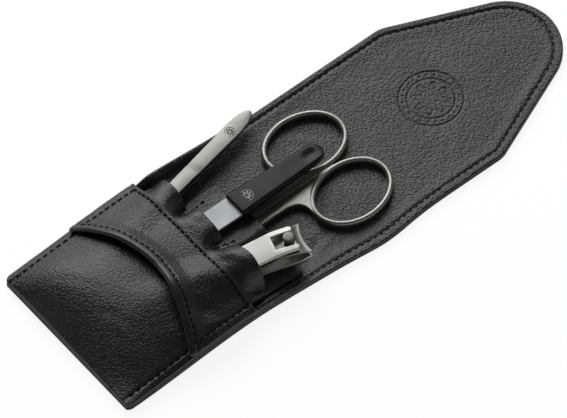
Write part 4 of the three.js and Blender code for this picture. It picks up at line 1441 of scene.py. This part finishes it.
@dataclass
class Scissors:
    """Forged nail scissors: two halves with finger rings, eased all over by tumbling, and the pivot screw."""

    place: ToolPlace = ToolPlace((1.0, 78.0, 2.7))
    thickness: float = 2.6
    blade_thickness: float = 1.15
    blade_length: float = 29.0
    blade_root: float = 7.0
    blade_tip: float = 1.4
    disc_radius: float = 4.8
    screw_radius: float = 1.5
    head_radius: float = 2.6
    head_height: float = 0.6
    slot_depth: float = 0.3
    slot_half: float = 0.42
    clearance: float = 0.3
    shank_width: float = 4.5
    ring_centre: tuple[float, float] = (13.2, 40.7)
    ring_half: tuple[float, float] = (11.9, 15.6)
    stock: float = 2.1
    ring_rise: float = 1.62
    ring_power: float = 0.7
    lean: float = 5.0
    joint_turns: tuple[float, float] = (-97.0, -186.0)
    voxel: float = 0.21
    easing_rounds: int = 5

    def ring_point(self, turn: np.ndarray, outward: np.ndarray | float = 0.0) -> Points:
        """Places (x, y) of the ring's leaning ellipse, whose half axes grow by `outward`."""
        x = (self.ring_half[0] + outward) * np.cos(turn)
        y = (self.ring_half[1] + outward) * np.sin(turn)
        lean = math.radians(self.lean)
        return np.stack([
            self.ring_centre[0] + x * math.cos(lean) - y * math.sin(lean),
            self.ring_centre[1] + x * math.sin(lean) + y * math.cos(lean),
        ], axis=-1)

    def finger_ring(self) -> Shape:
        """The ring: a superellipse, its cosine and sine raised to ring_power, carried round."""
        waves = np.cos(around(20)), np.sin(around(20))
        across, up = (np.sign(wave) * np.abs(wave) ** self.ring_power for wave in waves)
        flat = self.ring_point(around(120)[:, None], self.stock / 2 * across)
        height = self.thickness / 2 + self.ring_rise * up
        return tube(points_at(flat[..., 0], flat[..., 1], height), endless=True)

    def shank(self) -> Points:
        """Outline of the shank and the plate that joins it to the ring. Its outer side is a cubic curve."""
        inner, start = self.clearance / 2, self.disc_radius - 1.0
        t = np.linspace(0, 1, 18)[:, None]
        turns = np.radians(np.linspace(*self.joint_turns, 22))
        ring_foot = self.ring_point(turns[:1], self.stock / 2)[0]
        bends = ((self.shank_width, 15.5), (self.shank_width, 23.2), (7.2, 24.4), ring_foot)
        weights = ((1 - t) ** 3, 3 * t * (1 - t) ** 2, 3 * t**2 * (1 - t), t**3)
        curve = sum(weight * np.array(bend) for weight, bend in zip(weights, bends))
        along_ring = self.ring_point(turns, -0.2)
        return np.concatenate([
            [(inner, start), (self.shank_width, start)], curve, along_ring,
            [(inner, self.ring_centre[1] + self.stock)],
        ])

    def blade(self, low: float) -> Shape:
        """The blade: its back is flat, and its face is ground down to the cutting edge on the inner side."""
        y = np.linspace(-2.4, -self.blade_length, 24)
        half = mix(self.blade_root, self.blade_tip, -y / self.blade_length) / 2
        high = low + self.blade_thickness
        section = ((-1.0, low), (1.0, low), (1.0, low + 0.4), (0.1, high), (-1.0, high))
        return tube(np.stack([points_at(share * half, y, z) for share, z in section], axis=1))

    def disc(self, low: float) -> Shape:
        """The flat round joint with its hole for the screw."""
        hole, rim, high = self.screw_radius + self.clearance, self.disc_radius, low + self.blade_thickness
        turn, radius = around(64)[:, None], np.array([hole, rim, rim, hole])
        rings = points_at(radius * np.cos(turn), radius * np.sin(turn), (low, low, high, high))
        return tube(rings, endless=True)

    def half(self, upper: bool) -> Shape:
        """One half's crossing shells; the left half is the mirror image with its blade below."""
        low = self.thickness - self.blade_thickness if upper else 0.0
        inner, root = self.clearance / 2, self.shank_width
        neck = np.array([(inner, 2.2), (root - 0.6, 2.2), (root, 6.4), (inner, 6.4)])
        points, faces = joined([
            self.finger_ring(),
            prism(self.shank(), 0.0, self.thickness),
            prism(neck, low, low + self.blade_thickness),
            self.disc(low),
            self.blade(low),
        ])
        if upper:
            return points, faces
        return points * (-1, 1, 1), [face[::-1] for face in faces]

    def screw(self) -> Shape:
        """The pivot screw: a shaft under a low domed head, with a straight slot pressed into the head."""
        seat = self.thickness + self.clearance
        rim, head = seat + 0.75 * self.head_height, self.head_radius
        foot = [(0.05, 0), (self.screw_radius, 0), (self.screw_radius, seat), (head - 0.1, seat),
                (head, seat + 0.1), (head, rim), (head - 0.2, rim)]
        dome = np.linspace(head - 0.35, 0.04, 14)
        radius = np.append([r for r, _ in foot], dome)[:, None]
        crown = rim + 0.25 * self.head_height * (1 - (dome / head) ** 2)
        height = np.append([z for _, z in foot], crown)[:, None]
        x, y = radius * np.cos(around(72)), radius * np.sin(around(72))
        slot = self.slot_depth * smooth_step(np.abs(y), self.slot_half, self.slot_half - 0.12)
        return tube(points_at(x, y, height - slot * (height > rim + 0.001)))

    def build(self) -> None:
        """Builds the scissors on their three bodies."""
        for side, body in (("right", Body.SCISSORS_RIGHT), ("left", Body.SCISSORS_LEFT)):
            shape = self.half(side == "right")
            piece = self.place.add(f"scissors_{side}_forging", shape, [f"scissors_{side}_half"])
            fuse(piece, self.voxel, self.easing_rounds)
            finish_tool(piece, Finish.SATIN, body)
        screw = self.place.add("scissors_slotted_screw", self.screw(), ["scissors_screw"])
        finish_tool(screw, Finish.BRIGHT, Body.SCISSORS)


@dataclass
class NailFile:
    """A flat cross-cut steel file, moulded into a chamfered plastic handle with a thumb hollow."""

    place: ToolPlace = ToolPlace((-3.6, 0.0, 10.7))
    tip: float = 30.0
    point_length: float = 9.0
    width: float = 9.0
    tip_width: float = 3.0
    thickness: float = 1.2
    handle_start: float = 79.6
    handle_length: float = 40.0
    root_size: tuple[float, float] = (10.8, 4.5)
    end_size: tuple[float, float] = (7.4, 2.6)
    chamfer: float = 0.95
    hollow: float = 0.55
    hollow_half: tuple[float, float] = (2.9, 4.0)
    hollow_inset: float = 5.6
    motif_place: float = 5.6
    motif_radius: float = 2.5
    tang: float = 8.0

    def blade(self) -> Shape:
        """The blade: a thin flat sheet that narrows to a blunt rounded point."""
        root = self.handle_start + self.tang
        y = spaced([self.tip, self.tip + self.point_length, root], [0.5, 1.0])[:, None]
        share = spaced([-1.0, -0.93, 0.93, 1.0], [0.035, 0.12, 0.035])
        rise = np.clip((y - self.tip) / self.point_length, 0, 1)
        half = mix(self.tip_width, self.width, 1 - (1 - rise) ** 1.6) / 2
        return plate(share * half, y, self.thickness / 2, -self.thickness / 2, 0.12)

    def section(self) -> Points:
        """The handle's section in halves of its width and height: a chamfered box with eased corners."""
        wide, high = self.root_size[0] / 2, self.root_size[1] / 2
        cut_x, cut_z = 1 - self.chamfer / wide, 1 - self.chamfer / high
        corners = np.array([
            (1, -cut_z), (1, cut_z), (cut_x, 1), (-cut_x, 1),
            (-1, cut_z), (-1, -cut_z), (-cut_x, -1), (cut_x, -1),
        ])
        points: list[np.ndarray] = []
        for corner, before, after in zip(corners, np.roll(corners, 1, axis=0), np.roll(corners, -1, axis=0)):
            back, on = before - corner, after - corner
            back, on = (0.05 * way / np.hypot(*way) for way in (back, on))
            points += [corner + back, corner + (back + on) * 0.28, corner + on]
        ring = np.array(points)
        sides = []
        for start, stop in zip(ring, np.roll(ring, -1, axis=0)):
            count = max(int(np.hypot(*(stop - start)) / 0.1), 1)
            sides.append(start + (stop - start) * np.linspace(0, 1, count, endpoint=False)[:, None])
        return np.concatenate(sides)

    def handle(self) -> Shape:
        """The handle: the section carried along, drawn in at the root's edge and round the far end.

        Its half width and height run straight from root to end, times a draw-in factor, which rises from 0.9
        over the first 0.6 mm. At the share t of the last 4.4 mm the width's factor is the root of 1 − t^2.4
        and the height's is 1 − 0.55 t⁴. The thumb hollow lowers the top smoothly within an oval.
        """
        edge, round_end = 0.6, 4.4
        turn_start = self.handle_length - round_end
        far = turn_start + round_end * 0.997 * np.sin(np.linspace(0, np.pi / 2, 16))
        s = np.concatenate([[0, 0.15, 0.35, edge], np.linspace(2.0, turn_start - 0.8, 34), far])
        root = mix(0.9, 1.0, np.sin(np.clip(s / edge, 0, 1) * np.pi / 2))
        t = np.clip((s - turn_start) / round_end, 0, 1)
        wide = root * np.sqrt(np.maximum(1 - t**2.4, 0.004))
        high = root * (1 - 0.55 * t**4)
        share = s / self.handle_length
        half = mix(self.root_size[0], self.end_size[0], share) / 2 * wide
        rise = mix(self.root_size[1], self.end_size[1], share) / 2 * high
        section_x, section_z = self.section().T
        x, z = half[:, None] * section_x, rise[:, None] * section_z
        y = (self.handle_start + s)[:, None]
        middle = self.handle_start + self.handle_length - self.hollow_inset
        away = np.hypot(x / self.hollow_half[0], (y - middle) / self.hollow_half[1])
        dip = self.hollow * smooth_step(away, 1, 0) * smooth_step(z, 0, rise.max() / 2)
        return tube(points_at(x, y, z - dip)[:, ::-1])

    def build(self) -> None:
        """Builds the file, all of which rides on its one body."""
        blade = self.place.add("file_cut_blade", self.blade(), ["file_blade"])
        finish_tool(blade, Finish.FROSTED, Body.FILE)
        handle = self.place.add("file_moulded_handle", self.handle(), ["file_handle"])
        finish_tool(handle, Finish.PLASTIC, Body.FILE)
        top = mix(self.root_size[1], self.end_size[1], self.motif_place / self.handle_length) / 2
        centre = (-0.1, self.handle_start + self.motif_place)
        motif = rosette(centre, self.motif_radius, top - 0.1, top + 0.02)
        finish_tool(self.place.add("file_handle_motif", motif), Finish.PRINT, Body.FILE)


@dataclass
class Tweezers:
    """Stamped spring-steel tweezers: two arms, welded at the pointed end, which meet again at the tips."""

    place: ToolPlace = ToolPlace((-33.0, 110.6, 8.1), 11.8, 1.2)
    length: float = 90.0
    thickness: float = 1.1
    width: float = 5.8
    waist: float = 5.0
    tip_width: float = 1.8
    end_length: float = 11.0
    join_length: float = 8.0
    gap: float = 0.3
    mouth: float = 1.1
    spread: float = 1.6
    tip_spread: float = 1.2
    step_place: float = 32.0
    step: float = 0.2
    notch: float = 0.16
    notch_width: float = 1.6
    fall: float = 0.12
    motif_place: float = -11.5
    motif_radius: float = 2.0

    def arm(self, side: int) -> Shape:
        """One arm, above the middle for side 1 and below it for side −1.

        With a the distance from the pointed end, the half width over the end's length l is the root of
        1 − (1 − a/l)^2.2, and beyond it follows the waist to the tip. The outer face steps up at the grip,
        with a shallow notch across the step, and falls a little towards its sides.
        """
        away = spaced([0.1, 2.0, self.end_length, self.step_place - 1, self.step_place + 1, self.length],
                      [0.22, 0.6, 1.2, 0.2, 1.3])[:, None]
        share = spaced([-1.0, -0.92, 0.92, 1.0], [0.04, 0.16, 0.04])
        ogive = np.sqrt(1 - (1 - np.clip(away / self.end_length, 0, 1)) ** 2.2)
        widths = [(0, self.width), (self.end_length, self.width), (0.5 * self.length, self.waist),
                  (0.72 * self.length, self.waist), (self.length, self.tip_width)]
        x = share * ogive * bent(widths, away, 3.0) / 2
        line = [(0, self.gap / 2), (self.join_length, self.gap / 2), (self.length / 2, self.mouth),
                (0.84 * self.length, self.spread), (self.length, self.tip_spread)]
        inner = bent(line, away, 2.0)
        behind = self.step * smooth_step(away, self.step_place + 0.5, self.step_place - 0.5)
        notch = self.notch * hump(away - self.step_place, self.notch_width)
        outer = inner + self.thickness - behind - self.fall * share**2 - notch
        sheets = [points_at(x, -away, side * z)[::-1] for z in (outer, inner)]
        return closed_sheet(*sheets[::side], bulge=0.16, levels=5)

    def build(self) -> None:
        """Builds the tweezers on their two bodies."""
        upper = self.place.add("tweezers_top_arm", self.arm(1), ["tweezers_upper_arm"])
        finish_tool(upper, Finish.SPRING, Body.TWEEZERS_ARM)
        lower = self.place.add("tweezers_bottom_arm", self.arm(-1), ["tweezers_lower_arm"])
        finish_tool(lower, Finish.SPRING, Body.TWEEZERS)
        top = self.gap / 2 + self.thickness - self.step
        motif = rosette((0.0, self.motif_place), self.motif_radius, top - 0.05, top + 0.13)
        finish_tool(self.place.add("tweezers_motif", motif), Finish.ETCHED, Body.TWEEZERS_ARM)


@dataclass
class NailClipper:
    """A lever nail clipper: two bent arms riveted at the tail, a forked lever, and the post through them."""

    place: ToolPlace = ToolPlace((7.6, 34.6, 7.1), -16.0, -math.degrees(math.atan2(1.35, 57.5)))
    length: float = 57.5
    width: float = 10.0
    jaw_width: float = 12.8
    jaw_length: float = 11.0
    tail_corner: float = 2.5
    hollow: float = 1.2
    arm: float = 1.2
    lever_width: float = 9.8
    fork_width: float = 6.0
    fork_length: float = 8.4
    post_place: float = 51.0
    post_radius: float = 1.8
    head_radius: float = 2.35
    post_height: float = 11.5
    head_height: float = 1.3
    pin_radius: float = 0.45
    pin_height: float = 9.37
    rivet_radius: float = 1.3
    rivet_place: float = 4.5
    clearance: float = 0.3

    def heights(self, shares: Sequence[tuple[float, float]], y: np.ndarray, ease: float = 1.2) -> np.ndarray:
        """Heights of a side view whose points are shares of the length and of an arm's thickness."""
        return bent([(along * self.length, high * self.arm) for along, high in shares], y, ease)

    def arm_plan(self) -> tuple[np.ndarray, np.ndarray, np.ndarray, np.ndarray]:
        """Plan of both arms: places across and along, the places on the side view, and which cells exist."""
        corner = self.tail_corner
        row = spaced([0.05, corner, 44.0, self.length], [0.3, 0.9, 0.34])[:, None]
        share = spaced([-1.0, -0.95, 0.95, 1.0], [0.025, 0.055, 0.025])
        half = self.width / 2 - corner * (1 - np.sqrt(1 - np.clip(1 - row / corner, 0, 1) ** 2))
        flare = np.clip((row - self.length + self.jaw_length) / self.jaw_length, 0, 1) ** 1.25
        x = share * (half + (self.jaw_width - self.width) / 2 * flare)
        y = row - self.hollow * (1 - share**2) * smooth_step(row, self.length - 6, self.length)
        kept = np.ones((x.shape[0] - 1, x.shape[1] - 1), bool)
        x, y, kept = round_hole(x, y, kept, (0.0, self.post_place), self.post_radius + 1.5 * self.clearance)
        x, y, kept = round_hole(x, y, kept, (0.0, self.rivet_place), self.rivet_radius + self.clearance)
        return x, y, np.broadcast_to(row, x.shape), kept

    def lower_arm(self) -> Shape:
        """The lower arm, whose front turns up into its jaw and ends in a thin cutting edge."""
        x, y, row, kept = self.arm_plan()
        under = self.heights([(-1, 0), (0.914, 0), (0.971, 1.45), (1.0, 3.75)], row, 0.6)
        over = self.heights([(-1, 1), (0.81, 1), (0.933, 2.15), (0.99, 4.1), (1.1, 4.1)], row, 0.6)
        return plate(x, y, over, under, 0.14, 5, kept)

    def upper_arm(self) -> Shape:
        """The upper arm, which springs up towards its jaw, where its face is ground down to the edge."""
        x, y, row, kept = self.arm_plan()
        line = [(0, 1.25), (0.2, 1.35), (0.45, 1.8), (0.6, 2.75), (0.8, 4.7), (0.87, 5.6), (1, 5.85)]
        under = self.heights(line, row)
        over = under + self.arm * mix(1.0, 0.25, smooth_step(row, 0.9 * self.length, self.length))
        return plate(x, y, over, under, 0.14, 5, kept)

    def lever(self) -> Shape:
        """The lever: a bent plate with a square slot at its front between two prongs with round ends."""
        front, tail = self.post_place + self.head_radius, 0.035 * self.length
        half, fork = self.lever_width / 2, self.fork_width / 2
        root, edge = front - self.fork_length, fork / half
        row = spaced([tail + 0.05, tail + 2.5, root, front - 2, front], [0.3, 0.8, 0.4, 0.12])[:, None]
        share = spaced([-1.0, -0.95, -edge, edge, 0.95, 1.0], [0.025, 0.06, 0.08, 0.06, 0.025])
        rounding = np.clip(1 - (row - tail) / 2.5, 0, 1)
        x = share * (half - 2.0 * (1 - np.sqrt(1 - rounding**2)))
        prong = (half - fork) / 2
        side = np.clip((np.abs(x) - fork - prong) / prong, -0.985, 0.985)
        drawn_in = prong * (1 - np.sqrt(1 - side**2)) * (np.abs(x) > fork - 0.01)
        y = row - drawn_in * np.clip((row - front + 2) / 2, 0, 1)
        middle = (np.abs(x[:-1, :-1]) + np.abs(x[1:, 1:])) / 2
        along = (row[:-1] + row[1:]) / 2
        kept = ~((middle < fork) & (along > root))
        line = [(0.035, 2.5), (0.42, 3.1), (0.5, 3.6), (0.6, 4.8), (0.8, 7.2), (0.93, 7.1)]
        under = self.heights(line, row)
        thick = self.heights([(0.035, 1), (0.5, 1), (0.6, 1.15), (0.8, 1.42), (0.93, 1.42)], row)
        return plate(x, y, under + thick - 0.1 * (x / half) ** 2, under, 0.3, 6, kept)

    def post(self) -> Shape:
        """The post with its low domed head, turned in one piece."""
        foot, neck, top = self.clearance / 2, self.post_height - self.head_height, self.post_height
        r, head = self.post_radius, self.head_radius
        points, faces = lathe([
            (0.05, foot), (r - 0.1, foot), (r, foot + 0.1), (r, neck - 0.05), (r, neck), (r + 0.08, neck),
            (head - 0.1, neck), (head, neck + 0.1), (head, neck + 0.2), (head, top - 0.4),
            (head - 0.04, top - 0.28), (head - 0.16, top - 0.17), (head - 0.4, top - 0.1),
            (head - 0.9, top - 0.04), (head - 1.6, top), (0.05, top),
        ])
        return points + (0, self.post_place, 0), faces

    def pin(self) -> Shape:
        """The cross pin through the lever's prongs and the post, with eased ends."""
        half, r = (self.lever_width - self.clearance) / 2, self.pin_radius
        points, faces = lathe([
            (0.03, -half), (0.7 * r, -half), (r, -half + 0.15),
            (r, half - 0.15), (0.7 * r, half), (0.03, half),
        ], sides=20)
        return points[:, [2, 0, 1]] + (0, self.post_place, self.pin_height), faces

    def rivet(self) -> Shape:
        """The tail rivet, pressed flush with a shallow dimple."""
        top, r = 2 * self.arm + self.clearance, self.rivet_radius
        points, faces = lathe([
            (0.05, 0.15), (r - 0.1, 0.15), (r, 0.25), (r, top - 0.1), (r - 0.1, top), (0.6 * r, top),
            (0.3 * r, top - 0.12), (0.05, top - 0.15),
        ])
        return points + (0, self.rivet_place, 0), faces

    def build(self) -> None:
        """Builds the clipper on its two bodies."""
        for name, shape, node, finish, body in (
            ("clipper_bottom_arm", self.lower_arm(), "clipper_lower_arm", Finish.BRIGHT, Body.CLIPPER),
            ("clipper_top_arm", self.upper_arm(), "clipper_upper_arm", Finish.SHADED, Body.CLIPPER_JAW),
            ("clipper_forked_lever", self.lever(), "clipper_lever", Finish.BRIGHT, Body.CLIPPER),
            ("clipper_turned_post", self.post(), "clipper_post", Finish.TURNED, Body.CLIPPER),
            ("clipper_hinge_pin", self.pin(), "clipper_cross_pin", Finish.TURNED, Body.CLIPPER),
            ("clipper_pressed_rivet", self.rivet(), "clipper_tail_rivet", Finish.TURNED, Body.CLIPPER),
        ):
            finish_tool(self.place.add(name, shape, [node]), finish, body)


# Room and camera


@dataclass
class Studio:
    """A white floor, a large soft lamp beyond the case, a weak fill lamp and the picture's camera."""

    target: tuple[float, float, float] = (0.00242, -0.01377, 0.0)
    azimuth: float = 50.92
    elevation: float = 56.18
    distance: float = 6.0
    picture_width: float = 0.20153
    floor_half: float = 3.0
    seen_glow: float = 0.86
    mirrored_glow: float = 0.42
    wall_glow: float = 0.3
    sky_glow: float = 0.04

    def direction(self, azimuth: float, elevation: float) -> Vector:
        """The way from the target towards something at that azimuth and elevation, in degrees."""
        a, e = math.radians(azimuth), math.radians(elevation)
        return Vector((math.sin(a) * math.cos(e), -math.cos(a) * math.cos(e), math.sin(e)))

    def placed(self, data: Any, azimuth: float, elevation: float, away: float) -> bpy.types.Object:
        """Makes a camera or a lamp of that data, which faces the target from that direction and distance."""
        made = bpy.data.objects.new(data.name, data)
        back = self.direction(azimuth, elevation)
        made.location = Vector(self.target) + back * away
        made.rotation_mode = "QUATERNION"
        made.rotation_quaternion = (-back).to_track_quat("-Z", "Y")
        bpy.context.scene.collection.objects.link(made)
        return made

    def camera(self) -> None:
        """Places the camera: its lens frames the picture's width at the target."""
        data = bpy.data.cameras.new("picture_camera")
        data.sensor_width = 36.0
        data.lens = data.sensor_width * self.distance / self.picture_width
        data.clip_start, data.clip_end = 0.05, 20.0
        bpy.context.scene.camera = self.placed(data, self.azimuth, self.elevation, self.distance)

    def lamp(self, name: str, azimuth: float, elevation: float, away: float, size: tuple[float, float],
             power: float, mirrored: bool = True) -> None:
        """Places a rectangular area lamp that faces the target, and says whether shiny surfaces mirror it."""
        data = bpy.data.lights.new(name, "AREA")
        data.shape = "RECTANGLE"
        data.size, data.size_y = size
        data.energy = power
        self.placed(data, azimuth, elevation, away).visible_glossy = mirrored

    def floor(self) -> None:
        """Makes the floor: paper that keeps the case's shadow, and is white in the picture and in metal."""
        half = self.floor_half
        corners = [(-half, -half, 0), (half, -half, 0), (half, half, 0), (-half, half, 0)]
        mesh = bpy.data.meshes.new("studio_floor")
        mesh.from_pydata(corners, [], [(0, 1, 2, 3)])
        floor = bpy.data.objects.new("studio_floor", mesh)
        bpy.context.scene.collection.objects.link(floor)
        nodes = MaterialNodes("white_paper")
        ray = add_node(nodes.tree, "ShaderNodeLightPath").outputs
        paper = add_node(nodes.tree, "ShaderNodeBsdfDiffuse", {"Color": linear("#9c9c9c")})
        mirrored = nodes.maths("MULTIPLY", ray["Is Glossy Ray"], self.mirrored_glow)
        strength = nodes.maths("MULTIPLY_ADD", ray["Is Camera Ray"], self.seen_glow, mirrored)
        glow = add_node(nodes.tree, "ShaderNodeEmission", {"Color": linear("#ffffff"), "Strength": strength})
        both = {0: paper.outputs["BSDF"], 1: glow.outputs["Emission"]}
        seen = add_node(nodes.tree, "ShaderNodeAddShader", both).outputs["Shader"]
        mesh.materials.append(nodes.finished(seen))

    def world(self) -> None:
        """A weak sky with a brighter horizon, as in a room with pale walls; the camera sees it as white."""
        world = bpy.data.worlds.new("studio")
        bpy.context.scene.world = world
        world.use_nodes = True
        tree = world.node_tree
        tree.nodes.clear()
        seen = add_node(tree, "ShaderNodeLightPath").outputs["Is Camera Ray"]
        way = add_node(tree, "ShaderNodeTexCoord").outputs["Generated"]
        height = add_node(tree, "ShaderNodeSeparateXYZ", {"Vector": way}).outputs["Z"]
        glow = add_node(tree, "ShaderNodeMapRange", {
            "Value": height, "From Min": 0.2, "From Max": 0.45,
            "To Min": self.wall_glow, "To Max": self.sky_glow,
        }, interpolation_type="SMOOTHSTEP").outputs["Result"]
        sky = add_node(tree, "ShaderNodeBackground", {"Color": linear("#ffffff"), "Strength": glow})
        white = add_node(tree, "ShaderNodeBackground", {"Color": linear("#ffffff"), "Strength": 1.0})
        both = add_node(tree, "ShaderNodeMixShader", {
            0: seen, 1: sky.outputs["Background"], 2: white.outputs["Background"],
        })
        output = add_node(tree, "ShaderNodeOutputWorld")
        tree.links.new(both.outputs["Shader"], output.inputs["Surface"])

    def build(self) -> None:
        """Builds the room."""
        self.camera()
        self.floor()
        self.world()
        beside = self.azimuth + 197
        self.lamp("left_softbox", beside, elevation=41.0, away=1.3, size=(1.15, 0.95), power=7.0)
        above = {"elevation": 84.0, "away": 1.5, "size": (1.5, 1.5), "power": 3.6}
        self.lamp("overhead_fill", self.azimuth, **above, mirrored=False)
        bpy.context.scene.view_settings.view_transform = "Standard"


# Assembly


def main() -> None:
    """Builds the room, then each sub-assembly in order."""
    logging.basicConfig(level=logging.INFO, format="%(name)s: %(message)s")
    Studio().build()
    BackPanels().build()
    FrontPanels().build()
    InnerPanels().build()
    Scissors().build()
    NailFile().build()
    Tweezers().build()
    NailClipper().build()


if __name__ == "__main__":
    main()
